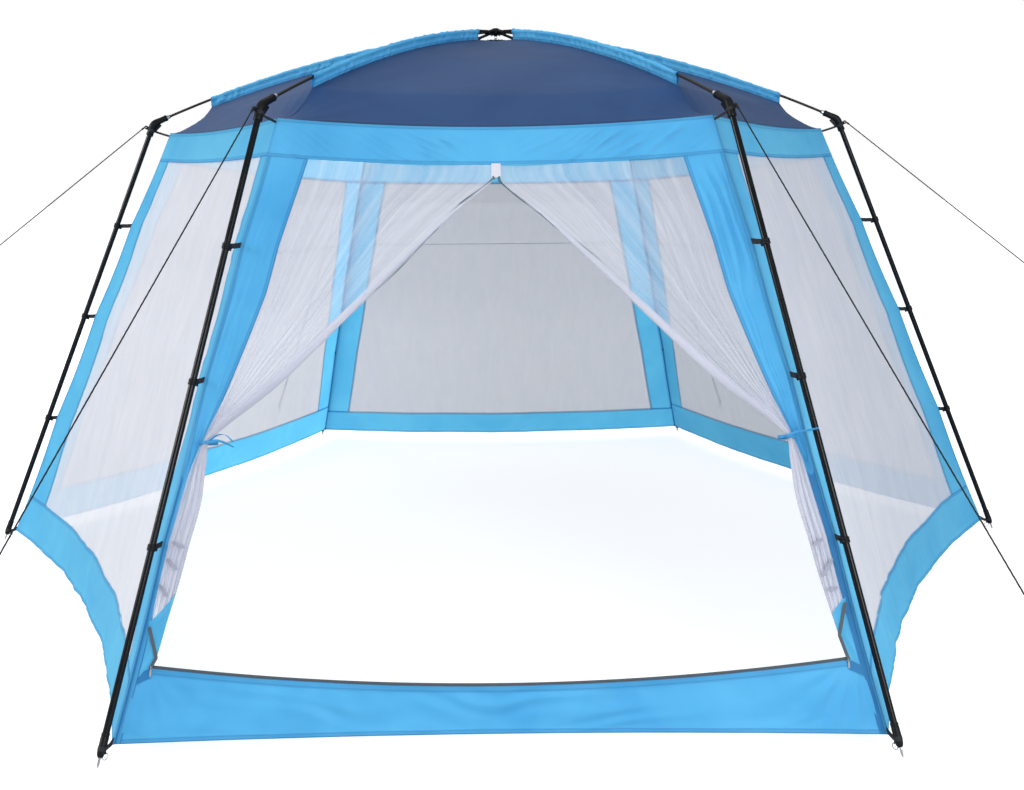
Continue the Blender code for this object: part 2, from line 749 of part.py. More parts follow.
def make_hub():
    top = HUB_HEIGHT + HUB_HALF_HEIGHT
    patch_height = APEX_HEIGHT + 0.0008
    down = Vector((0, 0, -1))
    profile = [
        (top + 0.004, 0.012),
        (top, 0.018),
        (HUB_HEIGHT + 0.004, HUB_RADIUS),
        (HUB_HEIGHT - HUB_HALF_HEIGHT, HUB_RADIUS),
        (HUB_HEIGHT - HUB_HALF_HEIGHT - 0.004, 0.009),
        (patch_height + 0.004, 0.008),
        (patch_height + 0.003, PATCH_RADIUS),
        (patch_height, PATCH_RADIUS),
    ]
    rings = [ring(Vector((0, 0, z)), down, radius, 24) for z, radius in profile]
    hub = add_object("crown_hub", *loft(rings), "crown_hub")
    centre = on_pole(0.0)
    arm = rod([centre, centre + HUB_WAY * HUB_ARM_REACH], [HUB_ARM_RADIUS] * 2, 12)
    bore = rod([centre + HUB_WAY * HUB_SOCKET_START, centre + HUB_WAY * (HUB_ARM_REACH + 0.01)],
               [POLE_SOCKET_RADIUS] * 2, 10)
    for angle in CORNERS.values():
        combine(hub, add_object("arm", *loft(arm), turn=angle), "UNION")
    for angle in CORNERS.values():
        combine(hub, add_object("socket", *loft(bore), turn=angle), "DIFFERENCE")


def make_guy_lines():
    """Taut cord from the elbow's lug to a hooked steel peg whose shank is in the ground."""
    for name, angle in CORNERS.items():
        reach = SIDE_PEG_RADIUS if name in ("left", "right") else OTHER_PEG_RADIUS
        hook = Vector((reach + 0.005, 0, PEG_HEIGHT - 0.010))
        way = (hook - LUG_CENTRE).normalized()
        facing = way.dot(LUG_WAY)
        knot = [(0.0, 0.003), (0.001, 0.0045), (0.010, 0.0045), (0.014, ROPE_RADIUS)]
        spare = max(radius * math.sqrt(1 - facing**2) - along * facing for along, radius in knot)
        start = LUG_CENTRE + LUG_WAY * (LUG_REACH / 2 + spare + 0.0004)
        way = (hook - start).normalized()
        path = [start + way * along for along, radius in knot]
        radii = [radius for along, radius in knot]
        line = add_object("pattern", *loft(rod([*path, hook], [*radii, ROPE_RADIUS], 8)))
        shank = [
            Vector((reach - 0.010, 0, 0.0)),
            Vector((reach - 0.002, 0, 0.022)),
            Vector((reach + 0.004, 0, PEG_HEIGHT - 0.010)),
            Vector((reach + 0.012, 0, PEG_HEIGHT - 0.002)),
            Vector((reach + 0.024, 0, PEG_HEIGHT - 0.004)),
            Vector((reach + 0.030, 0, PEG_HEIGHT - 0.014)),
        ]
        rings = rod(shank, [PEG_RADIUS] * len(shank), 10)
        rings[0] = [Vector((point.x, point.y, 0.0)) for point in rings[0]]
        combine(line, add_object("peg", *loft(rings)), "UNION")
        spread(line, "guy_line", {name: angle})


def clear_scene():
    for old in list(bpy.data.objects):
        bpy.data.objects.remove(old)


def main():
    clear_scene()
    make_legs()
    make_elbows()
    make_roof_poles()
    make_hub()
    make_gores()
    make_sleeves()
    make_walls()
    make_front_border()
    make_curtain("left", -1)
    make_curtain("right", 1)
    make_guy_lines()


main()
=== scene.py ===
"""Looks of a six-sided pool tent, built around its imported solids.

A frame of six legs, elbows, roof poles and a crown hub holds a sewn body: a navy canopy of six
gores with light blue pole sleeves, five walls of netting bordered in light blue, and a front wall
whose doorway has two netting curtains tied back above a zipped sill. Six guy lines hold it down.

Metres. Z is up, the ground is z = 0 and the doorway faces -Y. Corner pieces are made in an
upright plane, X from the middle of the tent out. Wall pieces are made with X out, Y across and
Z up. Each is then turned about Z to its place.
"""

import math

import bmesh
import bpy
import numpy as np
from mathutils import Matrix, Vector


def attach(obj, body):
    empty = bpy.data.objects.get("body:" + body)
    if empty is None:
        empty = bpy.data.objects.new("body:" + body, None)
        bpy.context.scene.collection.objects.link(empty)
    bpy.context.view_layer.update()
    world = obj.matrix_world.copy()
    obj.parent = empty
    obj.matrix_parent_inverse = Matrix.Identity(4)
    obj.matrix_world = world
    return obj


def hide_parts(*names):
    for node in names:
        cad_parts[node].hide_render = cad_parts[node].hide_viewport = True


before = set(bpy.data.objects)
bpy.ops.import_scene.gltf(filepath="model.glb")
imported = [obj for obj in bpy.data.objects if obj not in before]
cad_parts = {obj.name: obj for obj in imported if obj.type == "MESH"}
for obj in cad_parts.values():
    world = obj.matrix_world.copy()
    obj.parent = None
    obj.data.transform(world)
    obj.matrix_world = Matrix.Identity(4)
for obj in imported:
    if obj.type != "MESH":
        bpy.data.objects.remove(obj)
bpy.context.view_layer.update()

# Sizes that the solids are laid out on
FOOT_RADIUS = 2.50
ELBOW_RADIUS = 1.60
ELBOW_HEIGHT = 2.03
HUB_HEIGHT = 2.43
POLE_SLOPE = 0.079
POLE_BEND = 0.107
CORNERS = {"right": 0, "back_right": 60, "back_left": 120,
           "left": 180, "front_left": 240, "front_right": 300}
WALLS = {"right_back": 30, "back": 90, "left_back": 150, "left_front": 210, "right_front": 330}
GORES = {**WALLS, "front": 270}
FRONT = 270
HANDS = {"left": -1, "right": 1}
COS_30 = math.cos(math.radians(30))

TUBE_RADIUS = 0.011
TUBE_JOINTS = [0.70, 1.42]
CLIP_HEIGHTS = [1.56, 1.13, 0.63]
CLIP_RADIUS = 0.0146
FOOT_CAP_RADIUS = 0.0128
FOOT_CAP_TOP = 0.100
FOOT_CAP_BOTTOM = 0.032
PIN_RADIUS = 0.004
ROOF_ARM = 0.070
LEG_ARM = 0.060
POLE_RADIUS = 0.0055
FERRULE_RADIUS = 0.0085
HUB_ARM_REACH = 0.050
ROPE_RADIUS = 0.002
SIDE_PEG_RADIUS = 4.30
OTHER_PEG_RADIUS = 3.40
PEG_RADIUS = 0.004
PEG_HEIGHT = 0.050

EAVE_RADIUS = 1.522
EAVE_HEIGHT = 1.985
EAVE_SAG = 0.018
FRONT_EAVE_SAG = 0.036
HEM_HEIGHT = 0.050
SEAM_GAP_LOW = 0.042
SEAM_GAP_TOP = 0.098
SCALLOP = 0.008
WALL_SAG = 0.125
FRONT_SAG = 0.035
SLEEVE_START = 0.160
SLEEVE_END = 1.325
SLEEVE_DROP = 0.036
APEX_RADIUS = 0.020
APEX_HEIGHT = 2.388
GORE_SAG = 0.020
CORNER_DIP = 0.034

# Cut of the walls and of the doorway
HEAD_HEIGHT = 1.857
REAR_HEAD_HEIGHT = 1.735
HEAD_SAG_END = 1.70
REAR_WALLS = ["right_back", "back", "left_back"]
SIDE_BAND = 0.150
# The two walls beside the doorway have side bands cut to a taper, by wall and hand: flat width,
# flat area, then the width at each height
OUTER_BAND = (0.235, 0.320, [(0.05, 0.235), (0.80, 0.212), (1.20, 0.195), (1.56, 0.170), (1.857, 0.160)])
TAPERED_BANDS = {
    ("left_front", -1): OUTER_BAND,
    ("left_front", 1): (0.150, 0.165, [(0.60, 0.150), (0.82, 0.125), (1.00, 0.085), (1.30, 0.078),
                                       (1.857, 0.075)]),
    ("right_front", -1): (0.200, 0.290, [(0.80, 0.200), (1.20, 0.190), (1.50, 0.165), (1.857, 0.150)]),
    ("right_front", 1): OUTER_BAND,
}
SKIRT = 0.185
BACK_SKIRT = 0.150
NETTING_SEAM_HEIGHT = 1.36
FABRIC = 0.0010
LAP = 0.010
HEM = 0.014
SEAM_LINE = 0.0028
STITCH_INSET = 0.003
STITCH_WIDTH = 0.0016
STITCH_LENGTH = 0.005
STITCH_SHARE = 0.62
THREAD_PITCH = 0.0008
KNIT_PITCH = 0.0016
SILL_HEIGHT = 0.265
SILL_DROP = 0.075
SLIDER_PLACE = 1.108
TIE_HEIGHT = 0.930
DOOR_BAND = [(1.857, 0.140), (1.400, 0.125), (1.130, 0.091), (0.930, 0.048), (0.860, 0.036),
             (0.630, 0.027), (0.430, 0.024), (0.050, 0.024)]
# Where the curtain's zip leaves the band, and the place and height where it meets the free edge
GUSSET_TOP = {"left": 0.382, "right": 0.430}
TAIL_END = {"left": (1.093, 0.292), "right": (1.084, 0.334)}

# Creases of the valance, each size of them: pitch, depth, stretch along the band, how far the two
# sides are apart in their pattern, and seed. Then how deep the folds of each door band are.
VALANCE_CREASES = [(0.046, 0.0100, 0.6, 3, 301), (0.024, 0.0048, 1.0, 5, 303)]
DOOR_FOLDS = {"left": 0.8, "right": 1.45}

# How far bands, side bands and netting stand off a wall's middle surface
BAND_LIFT = 0.0022
SIDE_BAND_LIFT = 0.0008
NETTING_LIFT = -0.0010

# Ways out of a wall and up along it
OUTWARD = np.array([0.934, 0.0, 0.358])
OUT = Vector((0.934, 0.0, 0.358))
UP_WALL = Vector((-0.358, 0, 0.934))


# Layout lines


def leg_radius(z):
    return FOOT_RADIUS - z * (FOOT_RADIUS - ELBOW_RADIUS) / ELBOW_HEIGHT


def on_leg(z):
    return Vector((leg_radius(z), 0, z))


def pole_height(r):
    return HUB_HEIGHT - POLE_SLOPE * r - POLE_BEND * r * r


def on_pole(r):
    return Vector((r, 0, pole_height(r)))


LEG_DOWN = (on_leg(0.0) - on_leg(ELBOW_HEIGHT)).normalized()
LUG_WAY = Vector((-LEG_DOWN.z, 0, LEG_DOWN.x))
CORNER = on_pole(ELBOW_RADIUS)
LUG_CENTRE = CORNER + LEG_DOWN * 0.030 + LUG_WAY * 0.0255
ARM_END = ELBOW_RADIUS - ROOF_ARM * math.cos(math.radians(22.4))
ARM_WAY = (on_pole(ARM_END) - CORNER).normalized()
HUB_WAY = (on_pole(HUB_ARM_REACH) - on_pole(0.0)).normalized()
SIDEWAYS = Vector((0, 1, 0))


def seam_radius(z):
    """Radius of the corner seam between two walls, which is laced to the leg at its clips."""
    z = np.asarray(z, float)
    gap = SEAM_GAP_LOW + (SEAM_GAP_TOP - SEAM_GAP_LOW) * (np.clip(z, 0, None) / EAVE_HEIGHT) ** 3
    held = [EAVE_HEIGHT, *CLIP_HEIGHTS, HEM_HEIGHT]
    slack = np.zeros_like(z)
    for high, low in zip(held, held[1:]):
        bow = SCALLOP * np.sin(np.pi * np.clip((z - low) / (high - low), 0, 1))
        slack = slack + bow
    return leg_radius(z) - gap - slack


def on_seam(z):
    return Vector((float(seam_radius(z)), 0, z))


def half_wall(z):
    """Half the width of a wall at a height."""
    return seam_radius(z) / 2


def hip_height(r):
    """Height of the canopy along the seam under a roof pole, before the dip at its corner."""
    r = np.asarray(r, float)
    start = pole_height(SLEEVE_START) - SLEEVE_DROP
    near = APEX_HEIGHT + (start - APEX_HEIGHT) * (r - APEX_RADIUS) / (SLEEVE_START - APEX_RADIUS)
    end = pole_height(SLEEVE_END) - SLEEVE_DROP
    part = (r - SLEEVE_END) / (EAVE_RADIUS - SLEEVE_END)
    far = end + (EAVE_HEIGHT - end) * part
    height = np.where(r < SLEEVE_START, near, pole_height(r) - SLEEVE_DROP)
    return np.where(r > SLEEVE_END, far, height)


def waves(x, y, seed, count=9):
    """Smooth random rise and fall between about -1 and 1, near one wave to a unit of x and y."""
    dice = np.random.default_rng(seed)
    total = 0.0
    for _ in range(count):
        way, pace, start = dice.uniform(0, 2 * math.pi), dice.uniform(0.5, 1.3), dice.uniform(0, 2 * math.pi)
        total = total + np.sin(2 * math.pi * pace * (x * math.cos(way) + y * math.sin(way)) + start)
    return total / math.sqrt(count)


def ridge(phase):
    """Sharp creases, one for every half turn of the phase, with round hollows between them."""
    return 1 - 2 * np.abs(np.sin(phase))


def ease(value, low, high):
    """0 below low, 1 above high and a smooth step between."""
    part = np.clip((value - low) / (high - low), 0, 1)
    return part * part * (3 - 2 * part)


def through(keys, places):
    """Smooth values at the given places, from 0 to 1, of a curve through evenly spaced keys."""
    keys = np.asarray(keys, float)
    spot = np.asarray(places, float) * (len(keys) - 1)
    first = np.clip(np.floor(spot).astype(int), 0, len(keys) - 2)
    part = (spot - first)[:, None]
    before, after = keys[np.maximum(first - 1, 0)], keys[np.minimum(first + 2, len(keys) - 1)]
    here, there = keys[first], keys[first + 1]
    leaving, arriving = (there - before) / 2, (after - here) / 2
    bend = (2 * here - 2 * there + leaving + arriving) * part**3
    bend += (3 * there - 3 * here - 2 * leaving - arriving) * part**2
    return bend + leaving * part + here


# Shapes: each gives the points and faces of one part of a piece

def spread(down, across):
    """Two grids of one shape, from values down the rows and values across the columns."""
    return np.meshgrid(down, across, indexing="ij")


def grid_faces(rows, columns, around=False):
    faces = []
    for i in range(rows - 1):
        for j in range(columns if around else columns - 1):
            a, b = i * columns + j, i * columns + (j + 1) % columns
            faces.append((a, b, b + columns, a + columns))
    return faces


def loft(rings):
    """A closed body through rings of equal size."""
    rings = np.asarray([[tuple(p) for p in ring] for ring in rings], float)
    rows, columns = rings.shape[:2]
    faces = grid_faces(rows, columns, around=True)
    faces.append(tuple(range(columns)))
    faces.append(tuple(reversed(range((rows - 1) * columns, rows * columns))))
    return rings.reshape(-1, 3), faces


def ring(centre, along, radius, sides, first=SIDEWAYS):
    along = Vector(along).normalized()
    first = (Vector(first) - along * along.dot(Vector(first))).normalized()
    second = along.cross(first)
    points = []
    for step in range(sides):
        angle = 2 * math.pi * (step + 0.5) / sides
        points.append(Vector(centre) + (first * math.cos(angle) + second * math.sin(angle)) * radius)
    return points


def tube(path, radii, sides=16, first=SIDEWAYS):
    """A round bar along a bent path, with one radius or a radius at each point."""
    path = [Vector(p) for p in path]
    radii = [radii] * len(path) if isinstance(radii, float) else radii
    rings = []
    for index, (centre, radius) in enumerate(zip(path, radii)):
        along = path[min(index + 1, len(path) - 1)] - path[max(index - 1, 0)]
        rings.append(ring(centre, along, radius, sides, first))
    return loft(rings)


def turned(start, along, profile, sides=24):
    """A body turned on a lathe: pairs of distance along the axis and radius."""
    along = Vector(along).normalized()
    return loft([ring(Vector(start) + along * far, along, radius, sides) for far, radius in profile])


def hoop(centre, axis, radius, thickness, sides=28, around=10, flat=1.0):
    """A round ring such as a steel ring, or a flatter one such as a loop of webbing."""
    axis = Vector(axis).normalized()
    first = axis.orthogonal().normalized()
    second = axis.cross(first)
    points = []
    for step in range(sides):
        angle = 2 * math.pi * step / sides
        out = first * math.cos(angle) + second * math.sin(angle)
        for turn in range(around):
            lean = 2 * math.pi * turn / around
            push = out * math.cos(lean) * thickness + axis * math.sin(lean) * thickness * flat
            points.append(Vector(centre) + out * radius + push)
    faces = []
    for step in range(sides):
        for turn in range(around):
            a, b = step * around + turn, step * around + (turn + 1) % around
            c, d = (step + 1) % sides * around + (turn + 1) % around, (step + 1) % sides * around + turn
            faces.append((a, b, c, d))
    return np.array([tuple(p) for p in points]), faces


def rounded_box(centre, axes, sizes, edge):
    """A box with rounded edges."""
    shape = bmesh.new()
    bmesh.ops.create_cube(shape, size=1)
    for corner in shape.verts:
        corner.co = Vector([c * size for c, size in zip(corner.co, sizes)])
    bmesh.ops.bevel(shape, geom=shape.edges[:], offset=edge, segments=3, profile=0.5, affect="EDGES")
    turn = Matrix([Vector(axis).normalized() for axis in axes]).transposed()
    points = np.array([tuple(turn @ corner.co + Vector(centre)) for corner in shape.verts])
    faces = [tuple(corner.index for corner in face.verts) for face in shape.faces]
    shape.free()
    return points, faces


def webbing(path, across, width, thickness, ends=None):
    """A flat strap along a path. across is the way its width lies, at each point or for all."""
    path = [Vector(p) for p in path]
    across = across if isinstance(across, list) else [across] * len(path)
    ends = ends or [1.0] * len(path)
    outline = [(-1, -0.4), (-0.93, -1), (-0.5, -1), (0, -1), (0.5, -1), (0.93, -1),
               (1, -0.4), (1, 0.4), (0.93, 1), (0.5, 1), (0, 1), (-0.5, 1), (-0.93, 1), (-1, 0.4)]
    rings = []
    for index, centre in enumerate(path):
        along = (path[min(index + 1, len(path) - 1)] - path[max(index - 1, 0)]).normalized()
        wide = (Vector(across[index]) - along * along.dot(Vector(across[index]))).normalized()
        thick = along.cross(wide)
        half = width / 2 * ends[index]
        rings.append([centre + wide * a * half + thick * b * thickness / 2 for a, b in outline])
    return loft(rings)


def together(*parts):
    """Several shapes as one."""
    points, faces, start = [], [], 0
    for part_points, part_faces in parts:
        points.append(np.asarray([tuple(p) for p in part_points], float))
        faces += [tuple(index + start for index in face) for face in part_faces]
        start += len(part_points)
    return np.concatenate(points), faces


# Pieces: a shape with its finish, in its place

def new_mesh(name, shape, finish, sharp=40.0, closed=True, strip=None, edge=None):
    points, faces = shape
    mesh = bpy.data.meshes.new(name)
    mesh.from_pydata([tuple(p) for p in points], [], faces)
    if closed:
        body = bmesh.new()
        body.from_mesh(mesh)
        bmesh.ops.recalc_face_normals(body, faces=body.faces)
        body.to_mesh(mesh)
        body.free()
    mesh.polygons.foreach_set("use_smooth", [True] * len(mesh.polygons))
    mesh.set_sharp_from_angle(angle=math.radians(sharp))
    if strip is not None:
        layer = mesh.uv_layers.new(name="strip")
        corners = np.empty(len(mesh.loops), np.int32)
        mesh.loops.foreach_get("vertex_index", corners)
        layer.uv.foreach_set("vector", np.asarray(strip, np.float32)[corners].ravel())
    if edge is not None:
        mesh.attributes.new("edge", "FLOAT", "POINT").data.foreach_set("value", np.asarray(edge, np.float32))
    mesh.materials.append(finish)
    return mesh


def place(name, mesh, turn=0.0, stands_for=()):
    made = bpy.data.objects.new(name, mesh)
    made.rotation_euler.z = math.radians(turn)
    bpy.context.scene.collection.objects.link(made)
    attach(made, "root")
    if stands_for:
        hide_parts(*stands_for)
    return made


def piece(name, shape, finish, turn=0.0, stands_for=(), sharp=40.0):
    """A shape in its place, as a piece of its own."""
    return place(name, new_mesh(name, shape, finish, sharp), turn, stands_for)


def at_corners(name, shape, finish, node=None, sharp=40.0):
    """The same piece at each of the six corners."""
    mesh = new_mesh(name, shape, finish, sharp)
    for corner, angle in CORNERS.items():
        place(f"{name}_{corner}", mesh, angle, [f"{node}_{corner}"] if node else ())


def sheet_normals(grid):
    down, across = np.gradient(grid, axis=0), np.gradient(grid, axis=1)
    normals = np.cross(down, across)
    return normals / np.maximum(np.linalg.norm(normals, axis=2, keepdims=True), 1e-9)


def cloth(name, grid, finish, turn=0.0, gauge=FABRIC, edge=None, stands_for=(), drawn_from=None):
    """A sheet of cloth through a grid of points, as a thin closed body, or one skin at gauge 0.

    edge is how far each point is from the nearest sewn edge. Points nearer than a hem are folded
    double, so they stand one more thickness proud. The UV map is the cloth's own flat measure, and
    drawn_from is the flat width of a cloth that is gathered in.
    """
    grid = np.asarray(grid, float)
    rows, columns = grid.shape[:2]
    normals = sheet_normals(grid)
    edge = np.full((rows, columns), 1.0) if edge is None else np.broadcast_to(edge, (rows, columns))
    outer = grid + normals * (FABRIC * (1 - ease(edge, HEM, HEM + 0.002)))[..., None]
    steps = np.linalg.norm(np.diff(grid, axis=1), axis=2)
    across = np.concatenate([np.zeros((rows, 1)), np.cumsum(steps, axis=1)], axis=1)
    across -= across[:, columns // 2][:, None]
    if drawn_from:
        across = np.broadcast_to(np.linspace(0, drawn_from, columns), (rows, columns))
    steps = np.linalg.norm(np.diff(grid, axis=0), axis=2).mean(axis=1)
    down = np.broadcast_to(np.concatenate([[0.0], np.cumsum(steps)])[:, None], (rows, columns))
    strip = np.stack([across, down], axis=2).reshape(-1, 2)
    edge = edge.reshape(-1)
    faces = grid_faces(rows, columns)
    points = outer.reshape(-1, 3)
    if gauge:
        inner = (grid - normals * gauge).reshape(-1, 3)
        count = rows * columns
        faces += [tuple(count + index for index in reversed(face)) for face in faces]
        rim = list(range(columns))
        rim += [i * columns + columns - 1 for i in range(1, rows)]
        rim += [(rows - 1) * columns + j for j in range(columns - 2, -1, -1)]
        rim += [i * columns for i in range(rows - 2, 0, -1)]
        for a, b in zip(rim, rim[1:] + rim[:1]):
            faces.append((a, a + count, b + count, b))
        points = np.concatenate([points, inner])
        strip = np.concatenate([strip, strip])
        edge = np.concatenate([edge, edge])
    mesh = new_mesh(name, (points, faces), finish, 50.0, bool(gauge), strip, edge)
    return place(name, mesh, turn, stands_for)


# Finishes

def group(name, inputs, outputs):
    """A new shader node group with its sockets, and its input and output nodes.

    inputs give the first value of each, or None for a vector. The outputs are all plain numbers.
    """
    made = bpy.data.node_groups.new(name, "ShaderNodeTree")
    for title, value in inputs.items():
        kind = "NodeSocketVector" if value is None else "NodeSocketFloat"
        socket = made.interface.new_socket(name=title, in_out="INPUT", socket_type=kind)
        if value is not None:
            socket.default_value = value
    for title in outputs:
        made.interface.new_socket(name=title, in_out="OUTPUT", socket_type="NodeSocketFloat")
    return made, made.nodes.new("NodeGroupInput"), made.nodes.new("NodeGroupOutput")


def node(tree, kind, links=(), **values):
    """A node with its properties and inputs set. links are pairs of input and the socket it takes."""
    made = tree.nodes.new(kind)
    inputs = values.pop("inputs", {})
    for key, value in values.items():
        setattr(made, key, value)
    for key, value in inputs.items():
        made.inputs[key].default_value = value
    for key, source in links:
        tree.links.new(made.inputs[key], source)
    return made


def maths(tree, operation, first, second=None, third=None, clamp=False):
    made = tree.nodes.new("ShaderNodeMath")
    made.operation = operation
    made.use_clamp = clamp
    for index, value in enumerate((first, second, third)):
        if value is None:
            continue
        if isinstance(value, (int, float)):
            made.inputs[index].default_value = value
        else:
            tree.links.new(made.inputs[index], value)
    return made.outputs[0]


def bump(tree, height, strength, distance, over=None):
    """The normal of a relief, laid over a broader one if that is given."""
    links = [("Height", height)]
    if over is not None:
        links.append(("Normal", over))
    made = node(tree, "ShaderNodeBump", links, inputs={"Strength": strength, "Distance": distance})
    return made.outputs[0]


def make_weave_group():
    """Plain weave: threads over and under each other, from the cloth's own flat measure."""
    tree, given, result = group("weave", {"Measure": None, "Pitch": 0.001}, ["Height"])
    parts = node(tree, "ShaderNodeSeparateXYZ", [(0, given.outputs["Measure"])])
    turn = maths(tree, "DIVIDE", math.pi, given.outputs["Pitch"])
    warp = maths(tree, "SINE", maths(tree, "MULTIPLY", parts.outputs[0], turn))
    weft = maths(tree, "SINE", maths(tree, "MULTIPLY", parts.outputs[1], turn))
    height = maths(tree, "MULTIPLY_ADD", maths(tree, "MULTIPLY", warp, weft), 0.5, 0.5)
    tree.links.new(result.inputs["Height"], height)
    return tree


def make_crinkle_group():
    """Soft creases left by packing, over finer crumpling. Its Shade output is the rise of the soft creases,
    from which the finishes paint shade into the hollows.
    """
    tree, given, result = group("crinkle", {"Place": None, "Scale": 4.0}, ["Height", "Shade"])
    spot, scale = given.outputs["Place"], given.outputs["Scale"]
    soft = node(tree, "ShaderNodeTexNoise", [("Vector", spot), ("Scale", scale)],
                inputs={"Detail": 3.0, "Roughness": 0.55, "Distortion": 0.6})
    fine = node(tree, "ShaderNodeTexVoronoi", [("Vector", spot)], feature="DISTANCE_TO_EDGE",
                inputs={"Scale": 5.0, "Randomness": 1.0})
    crease = maths(tree, "SMOOTH_MIN", fine.outputs["Distance"], 0.08, 0.05)
    height = maths(tree, "MULTIPLY_ADD", crease, 2.0, maths(tree, "MULTIPLY", soft.outputs[0], 0.6))
    tree.links.new(result.inputs["Height"], height)
    tree.links.new(result.inputs["Shade"], soft.outputs[0])
    return tree


def make_sewing_group():
    """Dark lines at the edges as painted seam shadow, hems folded double and painted darker as their shade,
    and the row of stitches that holds each.
    """
    tree, given, result = group("sewing", {"Measure": None, "Edge": 1.0}, ["Seam", "Hem", "Stitch"])
    edge = given.outputs["Edge"]
    from_row = maths(tree, "ABSOLUTE", maths(tree, "SUBTRACT", edge, HEM - STITCH_INSET))
    near = maths(tree, "LESS_THAN", from_row, STITCH_WIDTH / 2)
    parts = node(tree, "ShaderNodeSeparateXYZ", [(0, given.outputs["Measure"])])
    along = maths(tree, "ADD", parts.outputs[0], parts.outputs[1])
    count = maths(tree, "MULTIPLY", along, 1 / STITCH_LENGTH)
    dash = maths(tree, "LESS_THAN", maths(tree, "FRACT", count), STITCH_SHARE)
    # Seam is the mask of the painted seam shadow, and Hem is the mask of the painted shade on doubled hems
    tree.links.new(result.inputs["Seam"], maths(tree, "LESS_THAN", edge, SEAM_LINE))
    tree.links.new(result.inputs["Hem"], maths(tree, "LESS_THAN", edge, HEM))
    tree.links.new(result.inputs["Stitch"], maths(tree, "MULTIPLY", near, dash))
    return tree


def make_grain_group():
    """Fine uneven grain of moulded plastic, paint or worn metal."""
    tree, given, result = group("grain", {"Scale": 300.0}, ["Height", "Wear"])
    spot = node(tree, "ShaderNodeTexCoord").outputs["Object"]
    fine = node(tree, "ShaderNodeTexNoise", [("Vector", spot), ("Scale", given.outputs["Scale"])],
                inputs={"Detail": 3.0, "Roughness": 0.6})
    broad = node(tree, "ShaderNodeTexNoise", [("Vector", spot)], inputs={"Scale": 14.0, "Detail": 4.0})
    tree.links.new(result.inputs["Height"], fine.outputs[0])
    tree.links.new(result.inputs["Wear"], broad.outputs[0])
    return tree


WEAVE = make_weave_group()
CRINKLE = make_crinkle_group()
SEWING = make_sewing_group()
GRAIN = make_grain_group()


def new_finish(name, roughness, gloss=0.5):
    """A new material, its node tree and its shader."""
    made = bpy.data.materials.new(name)
    made.use_nodes = True
    shader = made.node_tree.nodes["Principled BSDF"]
    shader.inputs["Roughness"].default_value = roughness
    shader.inputs["Specular IOR Level"].default_value = gloss
    return made, made.node_tree, shader


def surface(tree, socket):
    """Gives a material its surface."""
    tree.links.new(tree.nodes["Material Output"].inputs["Surface"], socket)


def use_group(tree, which, links=(), **values):
    made = node(tree, "ShaderNodeGroup", node_tree=which)
    for key, value in values.items():
        made.inputs[key].default_value = value
    for key, source in links:
        tree.links.new(made.inputs[key], source)
    return made


def mix_colours(tree, factor, first, second):
    made = tree.nodes.new("ShaderNodeMix")
    made.data_type = "RGBA"
    for socket, value in ((made.inputs[0], factor), (made.inputs[6], first), (made.inputs[7], second)):
        if isinstance(value, bpy.types.NodeSocket):
            tree.links.new(socket, value)
        elif isinstance(value, float):
            socket.default_value = value
        else:
            socket.default_value = (*value, 1.0)
    return made.outputs[2]


def lit_through(tree, shader, colour, share):
    """A shader of cloth whose given share of light comes through from behind."""
    lit = node(tree, "ShaderNodeBsdfTranslucent", [("Color", colour)])
    blend = node(tree, "ShaderNodeMixShader", [(1, shader.outputs[0]), (2, lit.outputs[0])],
                 inputs={0: share})
    return blend.outputs[0]


def fabric_finish(name, colour, shaded, thread_and_edge_shade, roughness, through_light, gloss, sheen=0.0):
    """Coated polyester cloth: woven, crinkled, sewn, and lit through from behind, with shade painted into
    the hollows of its creases and along its hems and seams.
    """
    made, tree, shader = new_finish(name, roughness, gloss)
    measure = node(tree, "ShaderNodeUVMap", uv_map="strip").outputs[0]
    edge = node(tree, "ShaderNodeAttribute", attribute_name="edge").outputs["Fac"]
    spot = node(tree, "ShaderNodeTexCoord").outputs["Object"]
    weave = use_group(tree, WEAVE, [("Measure", measure)], Pitch=THREAD_PITCH)
    crease = use_group(tree, CRINKLE, [("Place", spot)], Scale=3.2)
    sewing = use_group(tree, SEWING, [("Measure", measure), ("Edge", edge)])
    # Painted shade: the cloth is darker in the hollows of its soft creases
    shade = maths(tree, "MULTIPLY_ADD", crease.outputs["Shade"], 2.2, -0.6, True)
    dyed_and_shaded = mix_colours(tree, shade, shaded, colour)
    # Hems and seams are painted darker toward the stitches' colour as shade. The stitches themselves are
    # thread
    for line, strength in (("Hem", 0.28), ("Stitch", 0.7), ("Seam", 0.75)):
        dyed_and_shaded = mix_colours(tree, maths(tree, "MULTIPLY", sewing.outputs[line], strength), dyed_and_shaded, thread_and_edge_shade)
    tree.links.new(shader.inputs["Base Color"], dyed_and_shaded)
    shader.inputs["Sheen Weight"].default_value = sheen
    shader.inputs["Sheen Roughness"].default_value = 0.35
    shader.inputs["Sheen Tint"].default_value = (1.0, 0.93, 0.93, 1)
    stitches = maths(tree, "MULTIPLY", sewing.outputs["Stitch"], 4.0)
    threads = maths(tree, "ADD", weave.outputs["Height"], stitches)
    crumpled = bump(tree, crease.outputs["Height"], 0.5, 0.004)
    tree.links.new(shader.inputs["Normal"], bump(tree, threads, 0.15, 0.0002, crumpled))
    surface(tree, lit_through(tree, shader, dyed_and_shaded, through_light))
    return made


